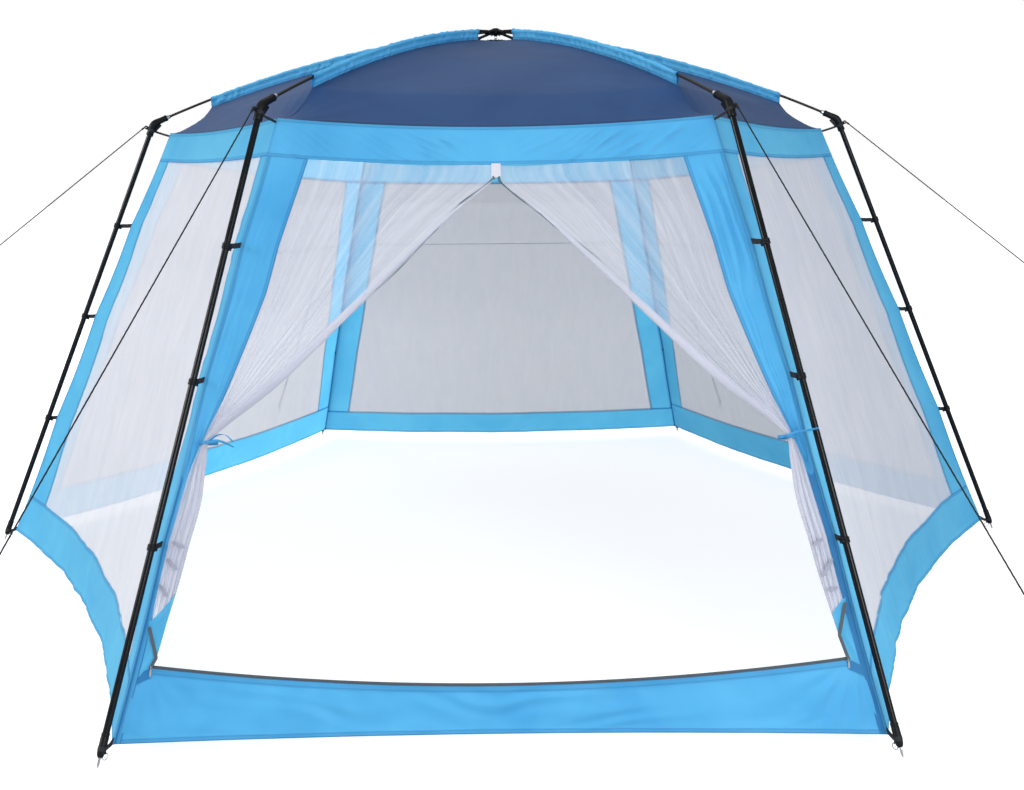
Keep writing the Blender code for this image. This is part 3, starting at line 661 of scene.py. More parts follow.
def netting_finish(name, colour, shaded, cover, through_light, gathered=False):
    """Fine knitted netting, which shows most of what is behind it, with painted shade in the hollows of its
    streaks. Gathered, its strands are denser.
    """
    made, tree, shader = new_finish(name, 0.85)
    measure = node(tree, "ShaderNodeUVMap", uv_map="strip").outputs[0]
    spot = node(tree, "ShaderNodeTexCoord").outputs["Object"]
    weave = use_group(tree, WEAVE, [("Measure", measure)], Pitch=KNIT_PITCH)
    flow, stretch, denser = (spot, (9.0, 9.0, 0.7), 0.03)
    if gathered:
        flow, stretch, denser = (measure, (21.0, 0.50, 1.0), 0.26)
    streaks = node(tree, "ShaderNodeMapping", [("Vector", flow)], inputs={"Scale": stretch})
    streaks = use_group(tree, CRINKLE, [("Place", streaks.outputs[0])], Scale=1.2)
    # Painted shade: the strands are darker in the hollows of their streaks
    shade = maths(tree, "MULTIPLY_ADD", streaks.outputs["Shade"], 1.5, -0.25, True)
    threads = mix_colours(tree, shade, shaded, colour)
    tree.links.new(shader.inputs["Base Color"], threads)
    tree.links.new(shader.inputs["Normal"], bump(tree, streaks.outputs["Height"], 0.25, 0.003))
    holes = maths(tree, "MULTIPLY_ADD", weave.outputs["Height"], 0.16, cover - 0.11)
    veil = maths(tree, "MULTIPLY_ADD", shade, denser, holes)
    cords = lit_through(tree, shader, threads, through_light)
    gaps = node(tree, "ShaderNodeBsdfTransparent").outputs[0]
    surface(tree, node(tree, "ShaderNodeMixShader", [(0, veil), (1, gaps), (2, cords)]).outputs[0])
    return made


def hard_finish(name, colour, worn, roughness, metallic, scale, relief, gloss=0.5):
    """Moulded plastic, painted tube or plain steel, with fine grain and uneven wear."""
    made, tree, shader = new_finish(name, roughness, gloss)
    grain = use_group(tree, GRAIN, Scale=scale)
    wear = maths(tree, "MULTIPLY_ADD", grain.outputs["Wear"], 2.0, -0.6, True)
    tree.links.new(shader.inputs["Base Color"], mix_colours(tree, wear, colour, worn))
    tree.links.new(shader.inputs["Roughness"], maths(tree, "MULTIPLY_ADD", wear, 0.16, roughness))
    shader.inputs["Metallic"].default_value = metallic
    tree.links.new(shader.inputs["Normal"], bump(tree, grain.outputs["Height"], relief, 0.0005))
    return made


def ribbed_finish(name, colour, lighter, roughness, pitch):
    """Woven strap, zip tape or rope: close ribs in all ways across it."""
    made, tree, shader = new_finish(name, roughness)
    spot = node(tree, "ShaderNodeTexCoord").outputs["Object"]
    scaled = node(tree, "ShaderNodeVectorMath", [(0, spot)], operation="SCALE")
    scaled.inputs["Scale"].default_value = math.pi / pitch
    parts = node(tree, "ShaderNodeSeparateXYZ", [(0, scaled.outputs[0])])
    upright = maths(tree, "SINE", maths(tree, "MULTIPLY_ADD", parts.outputs[1], 0.5, parts.outputs[2]))
    level = maths(tree, "SINE", maths(tree, "ADD", parts.outputs[0], parts.outputs[1]))
    ribs = maths(tree, "MULTIPLY_ADD", maths(tree, "MULTIPLY", upright, level), 0.5, 0.5)
    tree.links.new(shader.inputs["Base Color"], mix_colours(tree, ribs, colour, lighter))
    tree.links.new(shader.inputs["Normal"], bump(tree, ribs, 0.3, 0.0005))
    return made


# Cloth: colour, colour with painted shade for its hollows, colour of the stitches (also painted as shade on
# hems and seams), roughness, light let through, gloss and sheen
NAVY = fabric_finish("navy_canopy_cloth", (0.0205, 0.062, 0.168), (0.0145, 0.048, 0.140),
                     (0.009, 0.021, 0.063), 0.60, 0.20, 0.14, 0.06)
BLUE = fabric_finish("light_blue_border_cloth", (0.142, 0.565, 0.830), (0.098, 0.475, 0.775),
                     (0.03, 0.22, 0.50), 0.50, 0.52, 0.25)
# Netting: colour, colour with painted shade for its hollows, cover and light let through
NETTING = netting_finish("wall_netting", (0.595, 0.59, 0.63), (0.51, 0.53, 0.59), 0.85, 0.30)
SHEER = netting_finish("curtain_netting", (0.80, 0.80, 0.85), (0.66, 0.67, 0.76), 0.29, 0.42, True)
# Hard things: colour, colour where worn, roughness, metal, grain, relief and gloss
PAINTED = hard_finish("black_painted_tube", (0.002, 0.003, 0.005), (0.005, 0.005, 0.005),
                      0.20, 0.0, 180.0, 0.03, 0.22)
PLASTIC = hard_finish("black_moulded_plastic", (0.002, 0.0025, 0.003), (0.006, 0.006, 0.007),
                      0.40, 0.0, 420.0, 0.20, 0.20)
ROD = hard_finish("black_glass_fibre_rod", (0.007, 0.006, 0.006), (0.022, 0.017, 0.014),
                  0.36, 0.0, 250.0, 0.08, 0.30)
STEEL = hard_finish("bright_steel", (0.62, 0.62, 0.63), (0.48, 0.48, 0.49), 0.22, 1.0, 350.0, 0.12)
# Tapes and cords: colour, colour on the ribs, roughness and pitch of the ribs
TAPE = ribbed_finish("white_tape", (0.42, 0.41, 0.46), (0.50, 0.49, 0.55), 0.8, 0.0012)
NETTING_SEAM = ribbed_finish("grey_netting_seam", (0.24, 0.27, 0.33), (0.36, 0.40, 0.47), 0.8, 0.0012)
STRAP = ribbed_finish("black_webbing", (0.004, 0.004, 0.006), (0.014, 0.014, 0.017), 0.75, 0.0018)
ROPE = ribbed_finish("black_cord", (0.003, 0.003, 0.004), (0.010, 0.010, 0.011), 0.8, 0.0012)
ZIP = ribbed_finish("grey_zip_tape", (0.036, 0.046, 0.060), (0.070, 0.085, 0.100), 0.6, 0.0014)
FAINT_ZIP = ribbed_finish("zip_tape_under_netting", (0.20, 0.21, 0.27), (0.28, 0.29, 0.36), 0.7, 0.0014)
TEAL_ZIP = ribbed_finish("teal_zip_tape", (0.040, 0.085, 0.110), (0.085, 0.150, 0.180), 0.6, 0.0014)


# Frame: legs, clips and feet

def make_legs():
    """Each leg is a tube in three lengths, with a swaged joint between them."""
    top = CORNER + LEG_DOWN * 0.0185
    length = (on_leg(0.060) - top).length
    profile = [(0.0, TUBE_RADIUS - 0.001), (0.001, TUBE_RADIUS)]
    for joint in TUBE_JOINTS:
        for far, step in ((-0.0015, 0.0), (-0.0005, 0.0006), (0.0010, 0.0006), (0.0014, -0.0009),
                          (0.0026, -0.0009), (0.0034, 0.0)):
            profile.append((joint + far, TUBE_RADIUS + step))
    profile.append((length, TUBE_RADIUS))
    at_corners("leg_tube", turned(top, LEG_DOWN, profile, 32), PAINTED, "leg", 30.0)


def make_clips():
    """Each clip is a split plastic collar on the leg, with a strap laced to the wall seam."""
    collars, straps = [], []
    lower = [(0.0016, 0.0140), (0.0025, CLIP_RADIUS), (0.0065, CLIP_RADIUS), (0.0090, 0.0142),
             (0.0103, 0.0130), (0.0105, 0.0112)]
    profile = [(-far, radius) for far, radius in reversed(lower)] + lower
    for z in CLIP_HEIGHTS:
        centre = on_leg(z)
        collars.append(turned(centre, LEG_DOWN, profile, 28))
        tongue = centre - LUG_WAY * 0.0175
        collars.append(rounded_box(tongue, [LEG_DOWN, SIDEWAYS, LUG_WAY], [0.018, 0.008, 0.012], 0.002))
        seam = on_seam(z)
        path = [centre - LUG_WAY * 0.010, centre.lerp(seam, 0.35) + Vector((0, 0.0015, -0.001)),
                centre.lerp(seam, 0.7) + Vector((0, -0.001, -0.0015)), seam + Vector((0.0006, 0, 0)),
                seam - LUG_WAY * 0.006]
        straps.append(webbing(path, LEG_DOWN, 0.018, 0.0028))
    at_corners("leg_clips", together(*collars), PLASTIC)
    at_corners("clip_straps", together(*straps), STRAP)


def make_feet():
    """Each foot is a plastic cap with a steel pin and ring, strapped to the walls' corner."""
    top = on_leg(FOOT_CAP_TOP)
    long = (on_leg(FOOT_CAP_BOTTOM) - top).length
    profile = [(0.0, TUBE_RADIUS + 0.0002), (0.0006, 0.0122), (0.0030, FOOT_CAP_RADIUS),
               (0.0085, FOOT_CAP_RADIUS), (0.0095, 0.0122), (0.0110, 0.0122), (0.0120, FOOT_CAP_RADIUS),
               (long - 0.016, FOOT_CAP_RADIUS), (long - 0.012, 0.0124), (long - 0.004, 0.0105),
               (long, 0.0080), (long + 0.0004, 0.0040)]
    at_corners("foot_cap", turned(top, LEG_DOWN, profile, 28), PLASTIC)
    start = on_leg(FOOT_CAP_BOTTOM + 0.004)
    reach = start.z / -LEG_DOWN.z
    pin = [(0.0, PIN_RADIUS), (0.0045, PIN_RADIUS), (0.0052, 0.0068), (0.0076, 0.0068),
           (0.0084, PIN_RADIUS), (reach - 0.012, PIN_RADIUS), (reach - 0.003, 0.0018),
           (reach - 0.001, 0.0010)]
    eye = on_leg(0.036) - LUG_WAY * 0.021 + LEG_DOWN * 0.004
    metal = together(turned(start, LEG_DOWN, pin, 20), hoop(eye, SIDEWAYS, 0.0105, 0.0015))
    at_corners("foot_pin", metal, STEEL)
    corner = on_seam(0.062)
    foot = on_leg(0.052) - LUG_WAY * 0.012
    path = [corner + Vector((-0.004, 0, 0.003)), corner.lerp(foot, 0.4) + Vector((0, 0.001, -0.002)),
            corner.lerp(foot, 0.8) + Vector((0, -0.001, -0.001)), foot, foot + LEG_DOWN * 0.010]
    down = [foot - LUG_WAY * 0.001, foot - LUG_WAY * 0.003 + LEG_DOWN * 0.010, eye + Vector((0, 0, 0.009))]
    loop = webbing(down, SIDEWAYS, 0.012, 0.002)
    band = hoop(on_leg(0.056), LEG_DOWN, FOOT_CAP_RADIUS + 0.0002, 0.0008, 28, 8, 9.0)
    straps = together(webbing(path, LEG_DOWN, 0.014, 0.0026), loop, band)
    at_corners("foot_strap", straps, STRAP)


# Frame: elbows, roof poles and hub

def make_elbows():
    """Each elbow is a moulded bend with rims, a pivot, a rib and a lug, strapped to the eave."""
    keys = [(ARM_WAY * ROOF_ARM, 0.0108), (ARM_WAY * (ROOF_ARM - 0.003), 0.0124),
            (ARM_WAY * 0.052, 0.0130), (ARM_WAY * 0.034, 0.0136), (ARM_WAY * 0.018, 0.0146),
            (ARM_WAY * 0.006 + LEG_DOWN * 0.003, 0.0158), (LEG_DOWN * 0.012, 0.0160),
            (LEG_DOWN * 0.026, 0.0156), (LEG_DOWN * 0.042, 0.0151),
            (LEG_DOWN * (LEG_ARM - 0.003), 0.0148), (LEG_DOWN * LEG_ARM, 0.0132)]
    table = through([[*(CORNER + step), radius] for step, radius in keys], np.linspace(0, 1, 45))
    bend = [tube([row[:3] for row in table], [float(row[3]) for row in table], 28)]
    roof_rim = [(0.0, 0.0122), (0.001, 0.0137), (0.009, 0.0137), (0.0115, 0.0126), (0.012, 0.0085)]
    bend.append(turned(CORNER + ARM_WAY * (ROOF_ARM - 0.012), ARM_WAY, roof_rim))
    leg_rim = [(0.0, 0.0146), (0.001, 0.0158), (0.010, 0.0158), (0.0125, 0.0147), (0.013, 0.0112)]
    bend.append(turned(CORNER + LEG_DOWN * (LEG_ARM - 0.013), LEG_DOWN, leg_rim))
    pivot = CORNER + LEG_DOWN * 0.004 + ARM_WAY * 0.004
    boss = [(0.0, 0.0078), (0.0008, 0.0088), (0.0342, 0.0088), (0.0350, 0.0078)]
    bend.append(turned(pivot - SIDEWAYS * 0.0175, SIDEWAYS, boss))
    rib = (ARM_WAY + LEG_DOWN).normalized()
    bend.append(rounded_box(CORNER + rib * 0.021, [rib, SIDEWAYS, rib.cross(SIDEWAYS)],
                            [0.022, 0.007, 0.040], 0.002))
    bend.append(hoop(LUG_CENTRE + LUG_WAY * 0.001, SIDEWAYS, 0.0058, 0.0028, 24))
    bend.append(rounded_box(LUG_CENTRE - LUG_WAY * 0.006, [LEG_DOWN, SIDEWAYS, LUG_WAY],
                            [0.016, 0.0065, 0.012], 0.0015))
    at_corners("elbow_body", together(*bend), PLASTIC, "elbow")
    screws = []
    head = [(0.0, 0.0058), (0.0018, 0.0058), (0.0026, 0.0048), (0.0029, 0.0030), (0.0020, 0.0024)]
    for side in (-1, 1):
        seat = pivot + SIDEWAYS * 0.0175 * side
        screws.append(turned(seat - SIDEWAYS * 0.001 * side, SIDEWAYS * side, head))
    at_corners("elbow_rivet", together(*screws), STEEL)
    seam = on_seam(EAVE_HEIGHT - 0.013)
    reach = CORNER + LEG_DOWN * 0.032 - LUG_WAY * 0.0125
    path = [seam - Vector((0.010, 0, -0.004)), seam + Vector((0.001, 0, 0)),
            seam.lerp(reach, 0.35) + Vector((0, 0.001, -0.001)),
            seam.lerp(reach, 0.7) + Vector((0, -0.001, -0.001)), reach, reach + LUG_WAY * 0.004]
    strap = webbing(path, LEG_DOWN, 0.0095, 0.0024)
    wrap = hoop(CORNER + LEG_DOWN * 0.032, LEG_DOWN, 0.0158, 0.0008, 28, 8, 8.0)
    at_corners("elbow_strap", together(strap, wrap), STRAP)


def make_roof_poles():
    """Each roof pole is a bowed rod with a steel ferrule at its elbow and a joint by the hub."""
    start = on_pole(0.0) + HUB_WAY * 0.024
    stations = np.linspace(0.055, ARM_END - 0.012, 60)
    path = [start, *[on_pole(float(r)) for r in stations], CORNER + ARM_WAY * 0.030]
    at_corners("roof_pole_rod", tube(path, POLE_RADIUS, 20), ROD, "roof_pole")
    mouth = CORNER + ARM_WAY * (ROOF_ARM + 0.0002)
    ferrule = [(0.0, 0.0060), (0.0004, 0.0080), (0.0015, FERRULE_RADIUS), (0.0115, FERRULE_RADIUS),
               (0.0135, 0.0078), (0.0140, 0.0057)]
    at_corners("pole_ferrule", turned(mouth, ARM_WAY, ferrule), STEEL)
    near_hub = on_pole(0.0) + HUB_WAY * (HUB_ARM_REACH + 0.024)
    sleeve = [(0.0, 0.0056), (0.0004, 0.0059), (0.002, 0.0062), (0.078, 0.0062), (0.080, 0.0059),
              (0.0804, 0.0056)]
    at_corners("pole_joint", turned(near_hub, HUB_WAY, sleeve), PLASTIC)


def make_hub():
    """Turned knob with six sockets. The canopy's top hangs from the ring under it."""
    up = Vector((0, 0, 1))
    knob = [(0.0, 0.004), (0.0006, 0.0100), (0.0018, 0.0140), (0.0040, 0.0178), (0.0070, 0.0200),
            (0.0108, 0.0216), (0.0118, 0.0206), (0.0134, 0.0206), (0.0144, 0.0220), (0.0235, 0.0220),
            (0.0262, 0.0206), (0.0286, 0.0160), (0.0298, 0.0095), (0.0350, 0.0080), (0.0362, 0.0056)]
    parts = [turned(up * (HUB_HEIGHT + 0.0148), -up, knob, 40)]
    socket = [(0.008, 0.0092), (0.020, 0.0078), (0.0400, 0.0070), (0.0404, 0.0080), (0.0486, 0.0080),
              (0.0497, 0.0074), (0.0500, 0.0060)]
    arm = turned(on_pole(0.0), HUB_WAY, socket)
    rib = rounded_box(on_pole(0.0) + HUB_WAY * 0.026 - up * 0.0085, [HUB_WAY, SIDEWAYS, up],
                      [0.030, 0.0035, 0.009], 0.0008)
    for angle in CORNERS.values():
        spin = Matrix.Rotation(math.radians(angle), 3, "Z")
        for points, faces in (arm, rib):
            parts.append(([tuple(spin @ Vector(p)) for p in points], faces))
    piece("hub_body", together(*parts), PLASTIC, 0, ["crown_hub"])
    piece("hub_ring", hoop(up * (HUB_HEIGHT - 0.0270), (0.3, 1, 0), 0.0065, 0.0012), STEEL)
    path = []
    for x, height in ((0.004, 0.0), (0.0045, 0.006), (0.0030, 0.011), (-0.0005, 0.0135), (-0.0040, 0.010),
                      (-0.0040, 0.002)):
        path.append(Vector((x, 0, APEX_HEIGHT - 0.001 + height)))
    piece("apex_loop", webbing(path, SIDEWAYS, 0.018, 0.0018), STRAP)


# Guy lines and pegs

def make_guy_lines():
    """Each guy line is a twisted rope, doubled through a runner, from its elbow's lug to a peg."""
    for corner, angle in CORNERS.items():
        reach = SIDE_PEG_RADIUS if corner in ("left", "right") else OTHER_PEG_RADIUS
        hook = Vector((reach + 0.005, 0, PEG_HEIGHT - 0.010))
        eye = LUG_CENTRE + LUG_WAY * 0.0065
        way = (hook - eye).normalized()
        start, end = eye + way * 0.003, hook - way * 0.290
        length = (end - start).length
        up = way.cross(SIDEWAYS)
        rings = []
        for row in range(int(length / 0.0045) + 1):
            centre = start + way * min(row * 0.0045, length)
            lay = 2 * math.pi * row / 5.5
            points = []
            for step in range(9):
                turn = 2 * math.pi * step / 9
                radius = ROPE_RADIUS * (1.22 + 0.10 * math.cos(3 * turn - lay))
                points.append(centre + (SIDEWAYS * math.cos(turn) + up * math.sin(turn)) * radius)
            rings.append(points)
        rope = loft(rings)
        strands = []
        for hand in (-SIDEWAYS, SIDEWAYS):
            path = [end + way * 0.004, end + way * 0.030 + hand * 0.0035, hook - way * 0.060 + hand * 0.0050,
                    hook - way * 0.010 + hand * 0.0048, hook + hand * 0.0035, hook + way * 0.0045]
            strands.append(tube(path, ROPE_RADIUS * 0.9, 10, up))
        knot = [(0.0, 0.002), (0.001, 0.0040), (0.004, 0.0046), (0.006, 0.0036), (0.008, 0.0047),
                (0.011, 0.0042), (0.013, 0.002)]
        knot = turned(start + way * 0.004, way, knot, 14)
        bight = hoop(eye - way * 0.0015, SIDEWAYS.cross(way) + LEG_DOWN * 0.4, 0.0050, 0.0016, 20, 8)
        piece(f"guy_rope_{corner}", together(rope, *strands, knot, bight), ROPE, angle,
              [f"guy_line_{corner}"], 60.0)
        runner = rounded_box(end + way * 0.002, [way, SIDEWAYS, up], [0.034, 0.012, 0.0065], 0.0022)
        piece(f"guy_runner_{corner}", runner, PLASTIC, angle)
        keys = [(reach - 0.010, 0, 0.0006), (reach - 0.006, 0, 0.011), (reach - 0.002, 0, 0.022),
                (reach + 0.004, 0, PEG_HEIGHT - 0.010), (reach + 0.012, 0, PEG_HEIGHT - 0.002),
                (reach + 0.024, 0, PEG_HEIGHT - 0.004), (reach + 0.030, 0, PEG_HEIGHT - 0.014)]
        sides = 18
        radii = [PEG_RADIUS * 0.92] * 25 + [PEG_RADIUS * 0.6]
        points, faces = tube(through(keys, np.linspace(0, 1, 26)), radii, sides)
        points[:sides, 2] = 0.0
        piece(f"guy_peg_{corner}", (points, faces), STEEL, angle)


# Canopy

def gore_surface(r, u, seed, eave_sag):
    """Points of a gore: r is the distance out along the hips and u runs from hip to hip."""
    part = r / EAVE_RADIUS
    crown = 1 - u * u
    hang = (GORE_SAG * np.sin(np.pi * part) + eave_sag * part**3) * crown
    dip = CORNER_DIP * np.sin(np.pi * np.clip((r - SLEEVE_END) / (EAVE_RADIUS - SLEEVE_END), 0, 1)) ** 0.8
    height = hip_height(r) - hang - dip * np.abs(u) ** 9
    x = r * COS_30 + 0.38 * eave_sag * part**6 * crown
    y = u * r / 2
    hip = (1 - np.abs(u)) * r / 2
    gather = 0.0018 * np.exp(-hip / 0.05) * np.sin(2 * math.pi * r / 0.031 + 1.5 * waves(r * 4, u, seed))
    gather = gather * ease(r, SLEEVE_START, 0.24) * ease(hip, 0.0, 0.010)
    gather = gather * (1 - ease(r, SLEEVE_END - 0.07, SLEEVE_END + 0.01))
    pucker = 0.0035 * np.exp(-r / 0.12) * np.sin(u * 9.5 + seed) * (1 - u**4) * ease(r, 0.03, 0.07)
    corner = np.hypot(hip, EAVE_RADIUS - r)
    turn = np.arctan2(hip, EAVE_RADIUS - r + 0.02)
    pull = 0.0022 * np.exp(-corner / 0.22) * np.sin(turn * 16 + seed) * ease(corner, 0.02, 0.10)
    soft = 0.0035 * waves(y * 2.2, r * 1.6, seed + 3) * crown
    soft = soft * ease(r, 0.1, 0.5) * (1 - ease(r, 1.28, EAVE_RADIUS))
    return np.stack([x, y, height + gather + pucker + pull + soft], axis=2)


def make_gores():
    """Six gores, each with a welt along its eave."""
    stations = np.concatenate([np.linspace(APEX_RADIUS, SLEEVE_START, 10)[:-1],
                               np.linspace(SLEEVE_START, SLEEVE_END, 64)[:-1],
                               np.linspace(SLEEVE_END, EAVE_RADIUS - 0.018, 15)[:-1],
                               EAVE_RADIUS - np.array([0.018, 0.015, 0.0135, 0.007, 0.0])])
    across = np.sin(np.linspace(-1, 1, 57) * math.pi / 2 * 0.86) / math.sin(math.pi / 2 * 0.86)
    r, u = spread(stations, across)
    for index, (name, angle) in enumerate(GORES.items()):
        grid = gore_surface(r, u, 11 + index, FRONT_EAVE_SAG if name == "front" else EAVE_SAG)
        edge = EAVE_RADIUS - r
        gore = cloth(f"gore_{name}", grid, NAVY, angle, edge=edge,
                     stands_for=[f"roof_gore_{name}"])
        welt = tube(grid[-1, ::2] + [0.0012, 0, -0.0006], 0.0021, 8, (0, 0, 1))
        piece(f"eave_welt_{name}", welt, NAVY, angle)


def make_apex_patch():
    """Round patch of webbing over the six points of the gores, drawn into puckers."""
    rows = []
    for radius in np.linspace(0.004, 0.052, 9):
        points = []
        for step in range(72):
            angle = 2 * math.pi * step / 72
            toward = math.cos(math.radians((math.degrees(angle) + 30) % 60 - 30))
            height = float(hip_height(max(radius / max(toward, 0.866) * 0.98, APEX_RADIUS)))
            height += 0.0030 + 0.0016 * math.sin(18 * angle) * (radius / 0.052) ** 2
            points.append((radius * math.cos(angle), radius * math.sin(angle), height))
        rows.append(points)
    low = [[(x, y, z - 0.0016) for x, y, z in row] for row in reversed(rows)]
    piece("apex_patch", loft(rows + low), STRAP)


def sleeve_side(span, slack, lean, hand):
    """One side of a sleeve's section, sewn flat at the seam and slack above it: heights and offsets."""
    side = []
    for share, width in ((0.0, 0.0012), (0.12, 0.0020), (0.3, 1.0), (0.5, 1.3), (0.66, 1.0)):
        wide = width if share < 0.2 else max(slack, 0.0008) * width + 0.0006
        side.append((share * span, hand * wide + lean * share))
    return side


def make_sleeves():
    """Each sleeve is a strip of cloth folded over its roof pole and sewn down to the hip seam."""
    stations = np.linspace(SLEEVE_START, SLEEVE_END, 180)
    for index, (name, angle) in enumerate(CORNERS.items()):
        seed = 40 + index
        rows = []
        for r in stations:
            slope = math.atan(POLE_SLOPE + 2 * POLE_BEND * r)
            centre = on_pole(float(r))
            low = float(hip_height(r)) - 0.002
            ends = 1 - 0.5 * float(ease(min(r - SLEEVE_START, SLEEVE_END - r), 0.0, 0.03))
            slack = 0.0010 + 0.0012 * float(waves(r * 26, 0.0, seed))
            slack = slack + 0.0006 * float(waves(r * 60, 1.0, seed + 1))
            skin = POLE_RADIUS + 0.0022 + max(slack, -0.0008) + 0.0012 * (ends - 0.5)
            lean = 0.0022 * float(waves(r * 9, 2.0, seed + 2))
            left = 0.0030 + 0.0034 * float(waves(r * 34, 3.0, seed + 3)) + 0.0014 * ridge(r * 70 + seed)
            right = 0.0030 + 0.0034 * float(waves(r * 34, 7.0, seed + 4)) + 0.0014 * ridge(r * 74 + seed)
            span = pole_height(r) - low
            section = sleeve_side(span, left, lean, -1)
            for degrees in range(215, -36, -25):
                turn = math.radians(degrees)
                height = span + skin * math.sin(turn) / math.cos(slope)
                section.append((height, skin * math.cos(turn) + lean * 0.6))
            section += reversed(sleeve_side(span, right, lean, 1))
            rows.append([(centre.x, y, low + z) for z, y in section])
        grid = np.array(rows)
        edge = np.minimum(stations - SLEEVE_START, SLEEVE_END - stations)[:, None]
        edge = np.minimum(edge, grid[..., 2] - grid[:, :1, 2])
        sleeve = cloth(f"pole_sleeve_cloth_{name}", grid, BLUE, angle, gauge=0.0006, edge=edge,
                       stands_for=[f"pole_sleeve_{name}"])


# Walls

def wall_surface(across, z, seed, calm):
    """Points of a wall: across is the distance from its middle and z the height it would have untroubled."""
    half = half_wall(z)
    u = np.clip(across / half, -1, 1)
    crown = 1 - u * u
    fall = (EAVE_HEIGHT - z) / (EAVE_HEIGHT - HEM_HEIGHT)
    drop = EAVE_SAG * np.clip(1 - (EAVE_HEIGHT - z) / 0.6, 0, 1) * crown
    hang = WALL_SAG * np.clip(fall, 0, None) ** 1.2 * crown
    points = np.stack([seam_radius(z) * COS_30 - hang + drop * 0.38, across, z - drop], axis=2)
    free = np.sqrt(np.clip(crown, 0, 1)) * ease(fall, 0.0, 0.15)
    ripple = 0.0060 * fall**1.8 * waves(across * 2.4, z * 0.5, seed)
    ripple = ripple + 0.0034 * waves(across * 7.5, z * 0.9, seed + 1) * (0.35 + 0.35 * fall)
    ripple = ripple + 0.0014 * waves(across * 17.0, z * 1.6, seed + 2)
    tight = np.zeros_like(ripple)
    for clip in CLIP_HEIGHTS:
        for side in (-1, 1):
            out = half - side * across
            far = np.hypot(out, z - clip)
            fan = np.sin(np.arctan2(z - clip, out + 0.01) * 11 + seed + clip * 5)
            tight = tight + 0.0030 * np.exp(-far / 0.14) * fan * ease(out, 0.0, 0.05)
    return points + ((ripple * free + tight) * calm)[..., None] * OUTWARD


def lapped(low, high, middle):
    """Places from low to high with fine steps at both ends, for a hem or a lap."""
    ends = np.array([0.0, 0.007, HEM - 0.0005, HEM + 0.0018])
    inner = np.linspace(low + ends[-1], high - ends[-1], middle)[1:-1]
    return np.concatenate([low + ends, inner, (high - ends)[::-1]])


def head_line(name, u):
    """Height of the head band's lower edge, which is cut lower toward the two back corners."""
    u = np.asarray(u, float)
    if name == "back":
        return REAR_HEAD_HEIGHT + 0 * u
    toward_back = {"right_back": (1 + u) / 2, "left_back": (1 - u) / 2}.get(name)
    if toward_back is None:
        return HEAD_HEIGHT + 0 * u
    return HEAD_HEIGHT + (REAR_HEAD_HEIGHT - HEAD_HEIGHT) * toward_back


def skirt_line(name, u, seed):
    """Height of the skirt's upper seam, which waves on the two walls beside the doorway."""
    if name in REAR_WALLS:
        return HEM_HEIGHT + (BACK_SKIRT if name == "back" else SKIRT) + 0 * u
    return HEM_HEIGHT + SKIRT + 0.004 * waves(u * 2.6, 0 * u, seed + 4) * (1 - u**4)


def side_band(name, hand, z):
    """Width of a wall's side band at a height."""
    if (name, hand) not in TAPERED_BANDS:
        return SIDE_BAND + 0 * np.asarray(z, float)
    heights, widths = zip(*TAPERED_BANDS[name, hand][2])
    return np.interp(z, heights, widths)


def make_head_band(name, angle, seed, calm):
    z, u = spread(lapped(HEAD_HEIGHT, EAVE_HEIGHT, 11)[::-1], np.linspace(-1, 1, 121))
    head = head_line(name, u)
    z = EAVE_HEIGHT - (EAVE_HEIGHT - z) * (EAVE_HEIGHT - head) / (EAVE_HEIGHT - HEAD_HEIGHT)
    grid = wall_surface(u * half_wall(z), z, seed, calm) + OUTWARD * BAND_LIFT
    edge = np.minimum(z - head, EAVE_HEIGHT - z)
    band = cloth(f"head_band_{name}", grid, BLUE, angle, gauge=0.0, edge=edge)


def make_skirt(name, angle, seed, calm):
    skirt = BACK_SKIRT if name == "back" else SKIRT
    up, u = spread(lapped(0.0, skirt, 11)[::-1], np.linspace(-1, 1, 161))
    top = skirt_line(name, u, seed)
    z = HEM_HEIGHT + up * (top - HEM_HEIGHT) / skirt
    grid = wall_surface(u * half_wall(z), z, seed, calm) + OUTWARD * BAND_LIFT
    edge = np.minimum(z - HEM_HEIGHT, top - z)
    lower = cloth(f"skirt_{name}", grid, BLUE, angle, gauge=0.0, edge=edge)


def make_side_band(name, angle, seed, calm, side):
    hand = HANDS[side]
    skirt = BACK_SKIRT if name == "back" else SKIRT
    heights = np.linspace(float(head_line(name, hand * 0.9)) + LAP, HEM_HEIGHT + skirt - LAP, 72)
    wide = side_band(name, hand, heights)
    away = np.array([lapped(0.0, float(width), 9)[::-hand] for width in wide])
    z = np.repeat(heights[:, None], away.shape[1], axis=1)
    grid = wall_surface(hand * (half_wall(z) - away), z, seed, calm) + OUTWARD * SIDE_BAND_LIFT
    edge = np.minimum(away, wide[:, None] - away)
    strip = cloth(f"side_band_{name}_{side}", grid, BLUE, angle, gauge=0.0, edge=edge)


def make_netting(name, angle, seed, calm):
    fall, t = spread(np.linspace(0, 1, 84), np.linspace(-1, 1, 121))
    head = head_line(name, t * 0.85) + LAP
    z = head + (skirt_line(name, t * 0.88, seed) - LAP - head) * fall
    low = side_band(name, -1, z) - LAP - half_wall(z)
    high = half_wall(z) - side_band(name, 1, z) + LAP
    grid = wall_surface(low + (high - low) * (t + 1) / 2, z, seed, calm) + OUTWARD * NETTING_LIFT
    panel = cloth(f"netting_{name}", grid, NETTING, angle, gauge=0.0, stands_for=[f"wall_{name}"])


def make_netting_seam(name, angle, seed, calm):
    z = np.full(97, NETTING_SEAM_HEIGHT)
    across = np.linspace(-1, 1, 97) * (half_wall(z) - SIDE_BAND + LAP)
    seam = wall_surface(across[None, :], z[None, :], seed, calm)[0] + OUTWARD * NETTING_LIFT
    piece(f"netting_seam_{name}", tube(seam, 0.0013, 8, (0, 0, 1)), NETTING_SEAM, angle)


